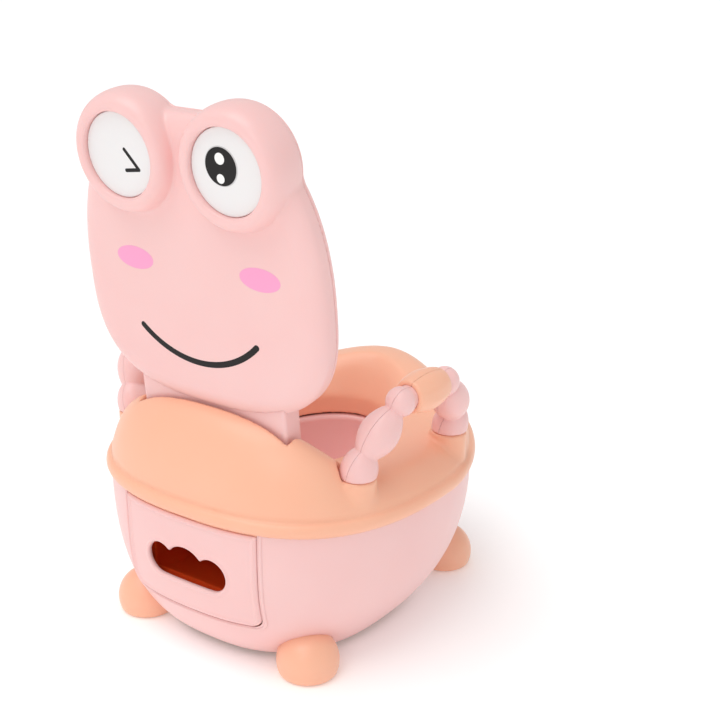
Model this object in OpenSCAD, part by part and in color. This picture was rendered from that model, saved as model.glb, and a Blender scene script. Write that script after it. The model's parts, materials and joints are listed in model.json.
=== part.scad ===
// Potty training chair: a tub on four round feet, a moulded seat cover with a splash guard,
// a pair of beaded arm rests, a frog-faced lid on a rear hinge, and a bowl in a rear drawer.
// Millimetres. Origin on the floor under the middle of the chair, +Z up.
// The child faces -Y; the hinge and the drawer are at the +Y end; the child's left is +X.

/* [Seat outline] */
// Width over the rim of the seat cover
rim_w = 280; // [250:1:340]
// Length over the rim of the seat cover
rim_l = 312; // [280:1:380]
// How far the widest point sits behind the middle
rim_mid_y = 4; // [0:1:10]
// Squareness of the rear half of the outline
rim_n_rear = 2.6; // [2:0.1:3]
// Squareness of the front half of the outline
rim_n_front = 1.7; // [1.6:0.05:2.4]

/* [Heights] */
// Lower edge of the seat cover's band above the floor
band_z = 124; // [112:1:150]
// Height of the band
band_h = 13; // [10:1:18]
// Rise of the seat surface above the band
seat_rise = 19; // [12:1:24]
// Extra height of the splash guard
guard_rise = 21; // [10:1:26]
// Extra height of the hump at the rear
hump_rise = 48; // [36:1:54]

/* [Seat cover] */
// Wall of the seat cover
seat_wall = 3; // [2.5:0.5:4]
// Half width of the seat hole
hole_a = 53; // [44:1:54]
// Half length of the seat hole
hole_b = 77; // [64:1:78]
// Middle of the seat hole, along the length
hole_y = -6; // [-10:1:-2]

/* [Tub] */
// Wall of the tub
tub_wall = 3; // [2.5:0.5:4]
// Gap between the tub and the inside of the band
tub_gap = 0.4; // [0.3:0.1:0.8]
// Lowest edge of the tub above the floor
tub_z0 = 5; // [3:1:12]
// Underside of the deck that carries the drawer
deck_z = 44; // [40:1:48]
// Thickness of the deck
deck_t = 3; // [2:0.5:4]

/* [Feet] */
// Radius of a foot
foot_r = 24; // [20:0.5:28]
// Rear foot centre in from the side of the rim
foot_in_side = 59; // [54:1:66]
// Front foot centre in from the side of the rim
foot_in_side_front = 65; // [60:1:72]
// Rear foot centre in from the rear of the rim
foot_in_rear = 47; // [42:1:56]
// Front foot centre in from the front of the rim
foot_in_front = 58; // [52:1:66]
// How much of the ball is cut off to stand flat
foot_flat = 13; // [8:0.5:15]

/* [Drawer] */
// Width of the drawer front
drawer_w = 119; // [112:1:122]
// Lower edge of the drawer front
drawer_z = 50.2; // [48:0.1:54]
// Thickness of the drawer front
front_t = 3.6; // [3:0.1:5]
// Gap round the drawer front
front_gap = 0.8; // [0.5:0.1:1.5]
// Wall of the drawer tray
tray_t = 2.2; // [1.8:0.1:3]
// Wall of the bowl
bowl_t = 2.5; // [2:0.1:3]

/* [Lid] */
// Distance between the eye centres
eye_gap = 93.4; // [88:0.1:100]
// Outer radius of an eye ring
ring_r = 42.5; // [40:0.5:45]
// Radius of an eye disc
disc_r = 29.5; // [26:0.5:31]
// Half width of the face
face_a = 107; // [100:1:110]
// Eye line above the hinge
eye_v = 223; // [215:1:230]
// Widest line of the face above the hinge
face_v = 125; // [118:1:130]
// Chin above the hinge
chin_v = 38; // [34:1:42]
// Lean of the open lid past upright
lid_lean = 6; // [3:0.5:8]
// Wall of the lid shells
lid_wall = 2.5; // [2:0.1:3]
// Width of the neck
neck_w = 134; // [120:1:138]

/* [Hinge] */
// Hinge axis, along
hinge_y = 92; // [90:1:94]
// Hinge axis above the floor
hinge_z = 163; // [161:1:165]
// Diameter of a hinge pin
pin_d = 6; // [5:0.5:7]
// Running clearance of a pin, on the diameter
pin_play = 0.12; // [0.05:0.01:0.2]
// Gap each side of the neck
neck_gap = 3; // [2:0.5:4]

/* [Arm rests] */
// Arm rest seat above the floor
arm_z = 160; // [156:1:164]
// Rear end of an arm rest, across
arm_x_rear = 106.5; // [104:0.5:110]
// Front end of an arm rest, across
arm_x_front = 115.5; // [112:0.5:119]
// Rear end of an arm rest, along
arm_y_rear = 84; // [80:1:88]
// Front end of an arm rest, along
arm_y_front = -27; // [-32:1:-22]
// Outward lean of an arm rest
arm_lean = 16; // [8:1:20]
// Largest radius of a long bead
bead_r = 14.6; // [13:0.1:16]
// Radius of the grip
grip_r = 15.5; // [14:0.5:17]

/* [Hidden] */

PINK = "#f9cfcb";
ORANGE = "#fdbb98";
WHITE = "#f4f1ee";
STEEL = "#c8c8c8";

around = 80;                 // points round the oval outlines
round_fn = 64;               // fineness of the true curves
eps = 0.01;
fit = 0.3;                   // gap between parts that rest on each other

rim_a = rim_w / 2;
rim_b_rear = rim_l / 2 - rim_mid_y;
rim_b_front = rim_l / 2 + rim_mid_y;
band_top = band_z + band_h;
tub_inset = seat_wall + 0.2 + tub_gap;
tub_top = band_top - 5;
deck_top = deck_z + deck_t;

// A power that keeps its sign, for the rounded-square outlines
function spow(v, p) = sign(v) * pow(abs(v), p);
function clamp(v) = min(max(v, 0), 1);
function smooth(v) = clamp(v) * clamp(v) * (3 - 2 * clamp(v));
function unit(v) = v / norm(v);

// Outline of the chair at angle t, for given half width and half lengths
function oval(t, a, br, bf, nr, nf) =
    let (n = sin(t) > 0 ? nr : nf, b = sin(t) > 0 ? br : bf)
    [a * spow(cos(t), 2 / n), rim_mid_y + b * spow(sin(t), 2 / n)];
function rim_at(t, inset) =
    oval(t, rim_a - inset, rim_b_rear - inset, rim_b_front - inset, rim_n_rear, rim_n_front);

// Faces of a closed ring of n sections with m points each; both directions wrap round
function ring_faces(n, m) = [
    for (j = [0 : n - 1], i = [0 : m - 1], k = [0, 1])
        let (j2 = (j + 1) % n, i2 = (i + 1) % m)
        k == 0 ? [j * m + i, j * m + i2, j2 * m + i2] : [j * m + i, j2 * m + i2, j2 * m + i]
];
// Faces of a stack of m closed outlines with n points each, capped at both ends
function stack_faces(n, m) = concat(
    [for (j = [0 : n - 1], i = [0 : m - 2], k = [0, 1])
        let (j2 = (j + 1) % n)
        k == 0 ? [j * m + i, j * m + i + 1, j2 * m + i + 1] : [j * m + i, j2 * m + i + 1, j2 * m + i]],
    [[for (j = [0 : n - 1]) j * m]],
    [[for (j = [n - 1 : -1 : 0]) j * m + m - 1]]
);

// ---------------------------------------------------------------- seat cover
// 0 in the middle of the seat, 1 on the rim
function rho(x, y) =
    let (n = y > rim_mid_y ? rim_n_rear : rim_n_front, b = y > rim_mid_y ? rim_b_rear : rim_b_front)
    pow(pow(abs(x) / rim_a, n) + pow(abs(y - rim_mid_y) / b, n), 1 / n);

crown_rho = 0.8;             // where the seat surface is highest
dish_drop = 15;              // fall from there to the hole
guard_rho = 0.7;             // crest of the splash guard
guard_narrow = 6;            // how fast the guard falls away to the sides
hump_rho = 0.68;             // where the hump starts to fall to the rear rim
slot_y0 = hinge_y - 13;      // front wall of the neck's slot
slot_y1 = hinge_y + 25.8;     // rear wall of the neck's slot
hump_y0 = hinge_y - 30;      // foot of the hump's front face
hump_y1 = hinge_y + 28;      // crest of the hump
hump_side = 130;             // foot of the hump's sides
hump_dome = 0.24;            // how much it falls by 100 mm from its middle

function base_rise(q) =
    q > crown_rho ? seat_rise * (1 - pow((q - crown_rho) / (1 - crown_rho), 2))
                  : seat_rise - dish_drop * pow(clamp((crown_rho - q) / 0.4), 2);
function guard_at(x, y, q) =
    let (r = norm([x, y - rim_mid_y]), c = clamp((rim_mid_y - y) / max(r, 1)))
    guard_rise * pow(c, guard_narrow) * (q > guard_rho ? sqrt(1 - pow(clamp((q - guard_rho) / (1 - guard_rho)), 2))
                                        : smooth((q - 0.55) / (guard_rho - 0.55)));
function hump_at(x, y, q) =
    hump_rise * (1 - hump_dome * pow(x / 100, 2)) * smooth((hump_side - abs(x)) / 36) * smooth((y - hump_y0) / (hump_y1 - hump_y0))
    * sqrt(1 - pow(clamp((q - hump_rho) / (1 - hump_rho)), 2));
function seat_z(x, y) =
    let (q = min(rho(x, y), 1))
    band_top - 1 + base_rise(q) + guard_at(x, y, q) + hump_at(x, y, q);
function seat_normal(x, y) =
    unit([seat_z(x - 1, y) - seat_z(x + 1, y), seat_z(x, y - 1) - seat_z(x, y + 1), 2]);

// A point of the seat surface between the rim (s = 0) and the hole (s = 1), sunk by d
function hole_at(t, grow) = [(hole_a + grow) * cos(t), hole_y + (hole_b + grow) * sin(t)];
function seat_point(t, s, d) =
    let (p = (1 - s) * rim_at(t, 8) + s * hole_at(t, 0), n = seat_normal(p.x, p.y))
    [p.x, p.y, seat_z(p.x, p.y)] - d * n;
function at_z(p, z) = [p.x, p.y, z];

top_steps = [0.04, 0.1, 0.18, 0.28, 0.38, 0.48, 0.58, 0.68, 0.78, 0.88, 0.96];
under_steps = [0.9, 0.76, 0.62, 0.48, 0.34, 0.2];
skirt_z = band_z - 1;        // lower edge of the skirt inside the hole

function seat_section(t) = concat(
    [at_z(rim_at(t, seat_wall + 0.2), band_z), at_z(rim_at(t, 0.8), band_z),
     at_z(rim_at(t, 0), band_z + 3), at_z(rim_at(t, 0), band_top - 4),
     at_z(rim_at(t, 1.2), band_top - 1.2), at_z(rim_at(t, 3.5), band_top), at_z(rim_at(t, 6), band_top - 0.6)],
    [for (s = top_steps) seat_point(t, s, 0)],
    [at_z(hole_at(t, 0), seat_z(hole_at(t, 0).x, hole_at(t, 0).y) - 3),
     at_z(hole_at(t, 0), skirt_z), at_z(hole_at(t, seat_wall), skirt_z),
     at_z(hole_at(t, seat_wall), seat_z(hole_at(t, 0).x, hole_at(t, 0).y) - 6)],
    [for (s = under_steps) seat_point(t, s, seat_wall)],
    [at_z(rim_at(t, 9), band_top - seat_wall), at_z(rim_at(t, seat_wall + 0.2), tub_top + fit)]
);

module seat_skin() {
    m = len(seat_section(0));
    polyhedron(
        points = [for (j = [0 : around - 1]) each seat_section(360 * j / around)],
        faces = ring_faces(around, m)
    );
}

// Everything under the seat surface, a little below it; trims what is added inside
module seat_block() {
    function section(t) = concat(
        [at_z(rim_at(t, 6), band_z), at_z(rim_at(t, 6), band_top - 1.5)],
        [for (s = top_steps) seat_point(t, s, 0.8)],
        [at_z(hole_at(t, 1), seat_z(hole_at(t, 0).x, hole_at(t, 0).y) - 4), at_z(hole_at(t, 1), band_z)]
    );
    polyhedron(
        points = [for (j = [0 : around - 1]) each section(360 * j / around)],
        faces = ring_faces(around, len(section(0)))
    );
}

slot_x = neck_w / 2 + neck_gap;      // half width of the slot for the neck
slot_floor = hinge_z - 21;           // floor of the slot
cheek_t = 4;                         // thickness of a wall that carries a hinge pin

// Walls and floor of the slot, open to the top
module slot_walls() {
    x1 = slot_x + cheek_t;
    difference() {
        translate([-x1, slot_y0 - 3, slot_floor - 3])
            cube([2 * x1, slot_y1 - slot_y0 + 6, 80]);
        translate([-slot_x, slot_y0, slot_floor])
            cube([2 * slot_x, slot_y1 - slot_y0, 90]);
    }
}

boss_x = 86;                          // seat screw posts, across
boss_ys = [46, -44];                  // seat screw posts, along
boss_r = 6;
boss_z = band_z - 14;                         // where a post meets a boss
screw_r = 1.8;
peg_r = 6;
peg_len = 14;
peg_play = 0.1;

module at_arm_ends() {
    for (sx = [-1, 1]) {
        translate([sx * arm_x_rear, arm_y_rear, 0]) children();
        translate([sx * arm_x_front, arm_y_front, 0]) children();
    }
}
module at_seat_bosses() {
    for (sx = [-1, 1], y = boss_ys)
        translate([sx * boss_x, y, 0]) children();
}

module seat_cover() {
    color(ORANGE)
    difference() {
        union() {
            difference() {
                seat_skin();
                translate([-slot_x, slot_y0, slot_floor - 3])
                    cube([2 * slot_x, slot_y1 - slot_y0, 80]);
            }
            // walls of the slot and bosses for the screws that hold the cover to the base
            intersection() {
                seat_block();
                union() {
                    slot_walls();
                    at_seat_bosses()
                        translate([0, 0, boss_z + 30])
                            cylinder(r = boss_r, h = 60, $fn = round_fn);
                    // lining of the arm recesses where they run into the hollow hump
                    at_arm_ends()
                        translate([0, 0, arm_z - peg_len - 1])
                            cylinder(r = base_r + 1 + seat_wall, h = 60, $fn = round_fn);
                }
            }
            at_seat_bosses()
                translate([0, 0, boss_z + fit])
                    cylinder(r = boss_r, h = 32, $fn = round_fn);
            // pads that the arm rests stand on
            at_arm_ends()
                translate([0, 0, arm_z - peg_len - 1])
                    cylinder(r = 14.2, h = peg_len + 1, $fn = round_fn);
        }
        // recesses for the arm rests' feet, pegs and screws
        at_arm_ends() {
            translate([0, 0, arm_z])
                cylinder(r = base_r + 1, h = 40, $fn = round_fn);
            translate([0, 0, arm_z - peg_len - 9])
                cylinder(r = 4.6, h = 8, $fn = round_fn);
            translate([0, 0, arm_z - peg_len + 1.5])
                cylinder(r = peg_r + peg_play, h = peg_len + 5, $fn = round_fn);
            translate([0, 0, arm_z - peg_len - 2])
                cylinder(r = screw_r + 0.2, h = peg_len, $fn = round_fn);
        }
        at_seat_bosses()
            translate([0, 0, boss_z])
                cylinder(r = screw_r, h = 24, $fn = round_fn);
        // bores of the hinge pins
        translate([-slot_x - cheek_t - 1, hinge_y, hinge_z])
            rotate([0, 90, 0])
                cylinder(d = pin_d, h = 2 * slot_x + 2 * cheek_t + 2, $fn = round_fn);
    }
}

// ---------------------------------------------------------------- tub
// Share of the half width, rear and front half lengths that is left at height z
function drop(z) = clamp((band_z - z) / (band_z - tub_z0 + 1));
function tub_at(t, z, inset) =
    let (d = drop(z))
    oval(t, (rim_a - tub_inset) * (1 - 0.352 * pow(d, 2.33)) - inset,
         (rim_b_rear - tub_inset) * (1 - 0.218 * pow(d, 4.7)) - inset,
         (rim_b_front - tub_inset) * (1 - 0.16 * pow(d, 3)) - inset, rim_n_rear, rim_n_front);

tub_levels = concat([for (h = [0, 5, 12, 21, 31, 43, 57, 75, 97]) tub_z0 + h], [tub_top]);

module tub_block(grow) {
    m = len(tub_levels);
    polyhedron(
        points = [for (j = [0 : around - 1], z = tub_levels) at_z(tub_at(360 * j / around, z, -grow), z)],
        faces = stack_faces(around, m)
    );
}
module tub_skin() {
    n = len(tub_levels);
    function section(t) = concat(
        [for (z = tub_levels) at_z(tub_at(t, z, 0), z)],
        [for (i = [n - 1 : -1 : 0]) at_z(tub_at(t, tub_levels[i], tub_wall), tub_levels[i])]
    );
    polyhedron(
        points = [for (j = [0 : around - 1]) each section(360 * j / around)],
        faces = ring_faces(around, 2 * n)
    );
}
module tub_outline(z, inset) {
    polygon([for (j = [0 : around - 1]) tub_at(360 * j / around, z, inset)]);
}

// Outline of the drawer front, seen from the rear: wide at the top, rounded at the bottom
corner_r = 9;
front_side = 2.5;            // the front laps past the tray by this much, each side
front_drop = 5.2;            // and hangs below it by this much
tray_narrow = 4;             // how much narrower the tray's bottom is, each side
module front_outline(grow) box_outline(drawer_w / 2 + front_side + grow, 0.5, drawer_z - front_drop - grow, grow);
module tray_outline(grow) box_outline(drawer_w / 2 + grow, tray_narrow, drawer_z - grow, grow);
module box_outline(w, narrow, z0, grow) {
    wb = w - narrow;
    z1 = band_z - front_gap + grow;
    polygon(concat(
        [[-w, z1], [w, z1]],
        [for (a = [0 : -15 : -90]) [wb - corner_r + corner_r * cos(a), z0 + corner_r + corner_r * sin(a)]],
        [for (a = [-90 : -15 : -180]) [-wb + corner_r + corner_r * cos(a), z0 + corner_r + corner_r * sin(a)]]
    ));
}
module front_prism(grow, y0) {
    translate([0, y0 + 200, 0])
        rotate([90, 0, 0])
            linear_extrude(200)
                front_outline(grow);
}
rear_y = rim_mid_y + rim_b_rear;     // rear of the rim
tray_y1 = rear_y - 18;               // rear face of the drawer tray
front_y0 = tray_y1 - 38;             // the drawer front lies behind this plane

foot_stem_r = 8;
foot_stem_in = 8;            // stem of a foot from the middle of its ball, each way
function foot_list() =
    let (y0 = rim_mid_y - rim_b_front + foot_in_front, y1 = rear_y - foot_in_rear,
         x0 = rim_a - foot_in_side_front, x1 = rim_a - foot_in_side)
    [[x1, y1], [-x1, y1], [x0, y0], [-x0, y0]];
function stem_at(p) = [p.x - foot_stem_in * sign(p.x), p.y - foot_stem_in * sign(p.y)];

module body_shell() {
    color(PINK)
    difference() {
        union() {
            tub_skin();
            // ledge that the deck is pulled up against
            intersection() {
                translate([0, 0, deck_top + 0.2])
                    linear_extrude(2.5)
                        difference() {
                            tub_outline(deck_top, tub_wall / 2);
                            tub_outline(deck_top, tub_wall + 8);
                        }
                for (sx = [-1, 1])
                    translate([sx * 120, 0, deck_top])
                        cube([100, 180, 8], center = true);
            }
            // raised frame round the drawer opening
            difference() {
                intersection() {
                    tub_block(1.3);
                    front_prism(front_gap + 3.2, front_y0);
                    translate([-100, front_y0, drawer_z - 18])
                        cube([200, 100, band_z - 0.5 - drawer_z + 18]);
                }
                tub_block(-1.5);
            }
        }
        front_prism(front_gap, front_y0 - 20);
        translate([-drawer_w / 2 - front_side - front_gap, front_y0 - 20, band_z - 3])
            cube([drawer_w + 2 * front_side + 2 * front_gap, 100, 30]);
        for (p = foot_list()) {
            translate([p.x, p.y, foot_r - foot_flat])
                sphere(r = foot_r + 0.6, $fn = round_fn);
            translate([stem_at(p).x, stem_at(p).y, tub_z0 - 1])
                cylinder(r = foot_stem_r + 0.5, h = deck_z - tub_z0 + 1, $fn = round_fn);
        }
    }
}

// ---------------------------------------------------------------- base with the drawer's runners
tray_gap = 1.5;                      // the tray's section is the drawer front's, this much smaller
tray_z0 = drawer_z + tray_gap;
runner_h = tray_z0 - fit - deck_top; // rails under the tray
guide_x = drawer_w / 2 - tray_narrow - tray_gap + 0.7;     // inner face of a side guide
module base_tray() {
    color(ORANGE)
    difference() {
        union() {
            translate([0, 0, deck_z])
                linear_extrude(deck_t)
                    tub_outline(deck_z, tub_wall + 0.5);
            intersection() {
                linear_extrude(band_z)
                    tub_outline(deck_z, tub_wall + 0.5);
                union() {
                    for (sx = [-1, 1]) {
                        translate([sx * (guide_x + 1.5) - 1.5, tray_y0 + 2, deck_z + 1])
                            cube([3, tray_y1 - tray_y0 - 28, 18]);
                        translate([sx * 42 - 3, tray_y0 + 6, deck_z + 1])
                            cube([6, tray_y1 - tray_y0 - 28, deck_t - 1 + runner_h]);
                    }
                    translate([-guide_x, tray_y0 - 6, deck_z + 1])
                        cube([2 * guide_x, 3, 22]);
                }
            }
            at_seat_bosses()
                translate([0, 0, deck_z])
                    cylinder(r = boss_r, h = boss_z - deck_z, $fn = round_fn);
        }
        at_seat_bosses() {
            translate([0, 0, deck_z - 1])
                cylinder(r = 4.2, h = boss_z - deck_z - 9, $fn = round_fn);
            translate([0, 0, deck_z])
                cylinder(r = screw_r + 0.2, h = boss_z, $fn = round_fn);
        }
        for (p = foot_list())
            translate([stem_at(p).x, stem_at(p).y, deck_z - 1])
                cylinder(r = 2.2, h = deck_t + 2, $fn = round_fn);
    }
}

module foot(p) {
    color(ORANGE)
    difference() {
        union() {
            translate([p.x, p.y, foot_r - foot_flat])
                sphere(r = foot_r, $fn = round_fn);
            translate([stem_at(p).x, stem_at(p).y, foot_r])
                cylinder(r = foot_stem_r, h = deck_z - foot_r, $fn = round_fn);
        }
        translate([p.x - 40, p.y - 40, -20])
            cube([80, 80, 20]);
        // the ball ends under the deck
        translate([p.x - 40, p.y - 40, deck_z])
            cube([80, 80, 40]);
        translate([stem_at(p).x, stem_at(p).y, deck_z - 14])
            cylinder(r = 1.7, h = 20, $fn = round_fn);
    }
}
module foot_rear_left() foot(foot_list()[0]);
module foot_rear_right() mirror([1, 0, 0]) foot(foot_list()[0]);
module foot_front_left() foot(foot_list()[2]);
module foot_front_right() mirror([1, 0, 0]) foot(foot_list()[2]);

// A pan-head screw pointing down from the origin, its head above
module screw(r_head, h_head, r, len) {
    cylinder(r = r_head, h = h_head, $fn = round_fn);
    translate([0, 0, -len])
        cylinder(r = r, h = len + eps, $fn = round_fn);
}
module foot_screws() {
    color(STEEL)
        for (p = foot_list())
            translate([stem_at(p).x, stem_at(p).y, deck_top])
                screw(4, 2, 1.7, 14);
}
module seat_screws() {
    color(STEEL)
        at_seat_bosses()
            translate([0, 0, boss_z - 10])
                mirror([0, 0, 1])
                    screw(3.8, 2.4, 1.8, 28);
}

// ---------------------------------------------------------------- drawer
tray_y0 = hole_y - hole_b - 7;        // front face of the drawer tray
tray_low = 26;                       // height of the walls beside the bowl
pocket_y = hole_y + hole_b + 15;     // wall between the bowl and the hand pocket
pocket_h = 62;
window_w = 86;
// A length of the tray's section, from y0 to y1 and h high
module tray_block(inset, y0, y1, h) {
    intersection() {
        translate([0, y1, 0])
            rotate([90, 0, 0])
                linear_extrude(y1 - y0)
                    tray_outline(-tray_gap - inset);
        translate([-100, y0 - 1, tray_z0 - 1])
            cube([200, y1 - y0 + 2, h + 1]);
    }
}
module drawer_tray() {
    color(ORANGE)
    difference() {
        union() {
            tray_block(0, tray_y0, tray_y1, tray_low);
            tray_block(0, pocket_y, tray_y1, pocket_h);
        }
        tray_block(tray_t, tray_y0 + tray_t, pocket_y, 100);
        tray_block(tray_t, pocket_y + tray_t, tray_y1 - tray_t, 100);
        translate([-window_w / 2, tray_y1 - 10, tray_z0 + 12])
            cube([window_w, 20, 100]);
        for (q = drawer_screw_list())
            translate([q.x, tray_y1 - 5, q.y])
                rotate([-90, 0, 0])
                    cylinder(r = 1.7, h = 10, $fn = round_fn);
    }
}
function drawer_screw_list() = [for (sx = [-1, 1], h = [13.8, 47.8]) [sx * 48, drawer_z + h]];

hole_z = drawer_z + 31.8;    // middle of the finger hole
hole_w = 74;                 // width of the finger hole
// A cloud-shaped finger hole: two side lobes, a middle lobe and a rounded floor
module cloud(grow) {
    r = 13 + grow;
    translate([-hole_w / 2 + 13, 0]) circle(r = r, $fn = round_fn);
    translate([hole_w / 2 - 13, 0]) circle(r = r, $fn = round_fn);
    translate([0, 2.5]) scale([1, 0.8]) circle(r = 17 + grow, $fn = round_fn);
    translate([-hole_w / 2 + 13, -13 - grow]) square([hole_w - 26, 18 + grow]);
}
module drawer_front() {
    color(PINK)
    difference() {
        union() {
            difference() {
                intersection() {
                    tub_block(0.6);
                    front_prism(0, front_y0);
                }
                tub_block(0.6 - front_t);
            }
            // pads that meet the tray
            intersection() {
                tub_block(-1);
                for (q = drawer_screw_list())
                    translate([q.x, tray_y1 + 0.1, q.y])
                        rotate([-90, 0, 0])
                            cylinder(r = 4, h = 30, $fn = round_fn);
            }
        }
        translate([0, front_y0 + 100, hole_z])
            rotate([90, 0, 0])
                linear_extrude(200)
                    cloud(0);
        for (q = drawer_screw_list())
            translate([q.x, tray_y1 - 1, q.y])
                rotate([-90, 0, 0])
                    cylinder(r = 1.4, h = 5.4, $fn = round_fn);
    }
}
module drawer_screws() {
    color(STEEL)
        for (q = drawer_screw_list())
            translate([q.x, tray_y1 - tray_t, q.y])
                rotate([90, 0, 0])
                    screw(3.2, 1.8, 1.4, 6);
}

bowl_a = hole_a + 3;                 // half width over the bowl's lip
bowl_b = hole_b + 6;                 // half length over the bowl's lip
bowl_top = skirt_z - 2.5;
bowl_bottom = tray_z0 + tray_t + fit;
module drawer_bowl() {
    h = bowl_top - bowl_bottom;
    lip = 3;
    // half width of the bowl's side at share f of its height
    function side(f) = bowl_a - 2.5 - 15 * pow(1 - f, 2.2);
    // half width and height, up the outside, over the lip and down the inside
    rows = concat(
        [for (i = [0 : 8]) [side(i / 8), (h - lip) * i / 8]],
        [[bowl_a, h - lip], [bowl_a, h], [side(1) - bowl_t, h]],
        [for (i = [8 : -1 : 0]) [side(i / 8) - bowl_t, bowl_t + (h - lip - bowl_t) * i / 8]]
    );
    color(PINK)
        translate([0, hole_y, bowl_bottom])
            polyhedron(
                points = [for (j = [0 : around - 1], q = rows)
                    let (t = 360 * j / around)
                    [q.x * cos(t), q.x * bowl_b / bowl_a * sin(t), q.y]],
                faces = stack_faces(around, len(rows))
            );
}

// ---------------------------------------------------------------- lid
// The lid is drawn upright round its hinge axis: x across, y outward, z up from the axis.
neck_out = 20;               // outer face of the neck from the axis
neck_in = 2;                 // inner face of the neck
face_out = 25;               // outer face of the lid
lid_under = 1;               // underside of the closed lid
seam_y = 7;                  // seam between the two shells
ring_out = 37;               // crest of an eye ring
disc_y = 33;                 // face of an eye disc
disc_t = 2;
barrel_r = 9;
web_v = eye_v + 26;          // top edge between the eyes
face_n_low = 2.8;
face_n_high = 2.3;
face_b_high = 136;

module place_lid() {
    translate([0, hinge_y, hinge_z])
        rotate([-lid_lean, 0, 0])
            children();
}

function face_at(t, inset) =
    let (up = sin(t) > 0, n = up ? face_n_high : face_n_low,
         b = (up ? face_b_high : face_v - chin_v) - inset)
    [(face_a - inset) * spow(cos(t), 2 / n), min(face_v + b * spow(sin(t), 2 / n), web_v - min(inset, 9))];

// A block with the outline of the face; rows are pairs of inset and depth
module face_block(rows) {
    m = len(rows);
    polyhedron(
        points = [for (j = [0 : around - 1], q = rows)
            let (p = face_at(-360 * j / around, q[0])) [p.x, q[1], p.y]],
        faces = stack_faces(around, m)
    );
}
module at_eyes() {
    for (sx = [-1, 1])
        translate([sx * eye_gap / 2, 0, eye_v])
            rotate([-90, 0, 0])
                children();
}
ring_w = (ring_r - disc_r) / 2;
module ring_solid(y0, y1, r) {
    bulge = ring_w;
    rotate_extrude($fn = round_fn)
        polygon(concat(
            [[0, y0], [r - 1, y0], [r, y0 + 1]],
            [for (a = [0 : 15 : 180]) [r - bulge + bulge * cos(a), y1 - bulge + bulge * sin(a)]],
            [[0, y1 - bulge]]
        ));
}
lid_screw_list = [[-82, 110], [82, 110], [-80, 165], [80, 165], [-60, 66], [60, 66]];

module lid_face_shell() {
    color(PINK)
    place_lid()
    difference() {
        union() {
            face_block([[0, seam_y], [0, 14], [1.2, 18.5], [4, 22], [9, 24], [22, 24.8], [50, face_out]]);
            at_eyes() ring_solid(seam_y, ring_out, ring_r);
        }
        face_block([[lid_wall, seam_y - 5], [lid_wall, 14], [4.5, 18.5], [9, 21], [22, 22.2], [50, 22.4]]);
        at_eyes() {
            translate([0, 0, seam_y - 5])
                cylinder(r = ring_r - lid_wall, h = 14, $fn = round_fn);
            translate([0, 0, 20])
                cylinder(r = disc_r - lid_wall, h = 8, $fn = round_fn);
            translate([0, 0, disc_y - disc_t])
                cylinder(r = disc_r + 0.2, h = 20, $fn = round_fn);
        }
        // room for the neck under the chin
        translate([-neck_w / 2 - 0.5, seam_y - 1, chin_v - 10])
            cube([neck_w + 1, neck_out + 0.3 - seam_y + 1, 40]);
        for (q = lid_screw_list)
            translate([q.x, seam_y, q.y]) rotate([-90, 0, 0]) cylinder(r = 1.2, h = 10, $fn = round_fn);
    }
    color(PINK)
    place_lid()
        for (q = lid_screw_list)
            translate([q.x, seam_y + 1, q.y])
                rotate([-90, 0, 0])
                    difference() {
                        cylinder(r = 3.6, h = 22.5 - seam_y - 1 + 1, $fn = round_fn);
                        translate([0, 0, -1]) cylinder(r = 1.5, h = 12, $fn = round_fn);
                    }
}

lug_x = neck_w / 2 - 13;     // middle of a hinge lug
lug_w = 15;
module lid_back_panel() {
    color(PINK)
    place_lid()
    difference() {
        union() {
            difference() {
                union() {
                    face_block([[5, lid_under], [1.5, lid_under + 1.2], [0, lid_under + 4], [0, seam_y - 0.1]]);
                    at_eyes()
                        translate([0, 0, lid_under])
                            cylinder(r = ring_r, h = seam_y - 0.1 - lid_under, $fn = round_fn);
                }
                face_block([[lid_wall + 2, lid_under + lid_wall], [lid_wall, seam_y], [lid_wall, seam_y + 3]]);
                at_eyes()
                    translate([0, 0, lid_under + lid_wall])
                        cylinder(r = ring_r - lid_wall, h = 10, $fn = round_fn);
            }
            for (q = lid_screw_list)
                translate([q.x, lid_under + 1, q.y]) rotate([-90, 0, 0]) cylinder(r = 4.5, h = seam_y - lid_under - 1, $fn = round_fn);
            neck();
        }
        for (q = lid_screw_list) {
            translate([q.x, 0, q.y]) rotate([-90, 0, 0]) cylinder(r = 1.8, h = 12, $fn = round_fn);
            translate([q.x, -1, q.y]) rotate([-90, 0, 0]) cylinder(r = 3.4, h = 5, $fn = round_fn);
        }
        translate([-neck_w / 2 - 1, 0, 0])
            rotate([0, 90, 0])
                cylinder(d = pin_d + pin_play, h = neck_w + 2, $fn = round_fn);
    }
}
// Neck: a hollow plate that turns round the axis, with a rounded end and two lugs
neck_top = chin_v + 22;
module neck_profile(grow) {
    // quarter round behind and below the axis
    intersection() {
        circle(r = neck_out - 1.5 - grow, $fn = round_fn);
        translate([0, -neck_out])
            square([neck_out, neck_out + eps]);
    }
    translate([neck_in + grow, -eps])
        square([neck_out - neck_in - 2 * grow, neck_top + grow]);
}
module neck() {
    difference() {
        translate([-neck_w / 2, 0, 0])
            rotate([90, 0, 90])
                linear_extrude(neck_w)
                    union() {
                        neck_profile(0);
                        circle(r = barrel_r, $fn = round_fn);
                    }
        translate([-neck_w / 2 + lid_wall, 0, 0])
            rotate([90, 0, 90])
                linear_extrude(neck_w - 2 * lid_wall)
                    translate([neck_in + lid_wall, barrel_r + 2])
                        square([neck_out - neck_in - 2 * lid_wall, neck_top]);
    }
    for (sx = [-1, 1])
        translate([sx * lug_x - lug_w / 2, 0, 0])
            rotate([90, 0, 90])
                linear_extrude(lug_w)
                    intersection() {
                        circle(r = neck_out, $fn = round_fn);
                        translate([0, -neck_out])
                            square([neck_out, neck_out]);
                    }
}
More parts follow.
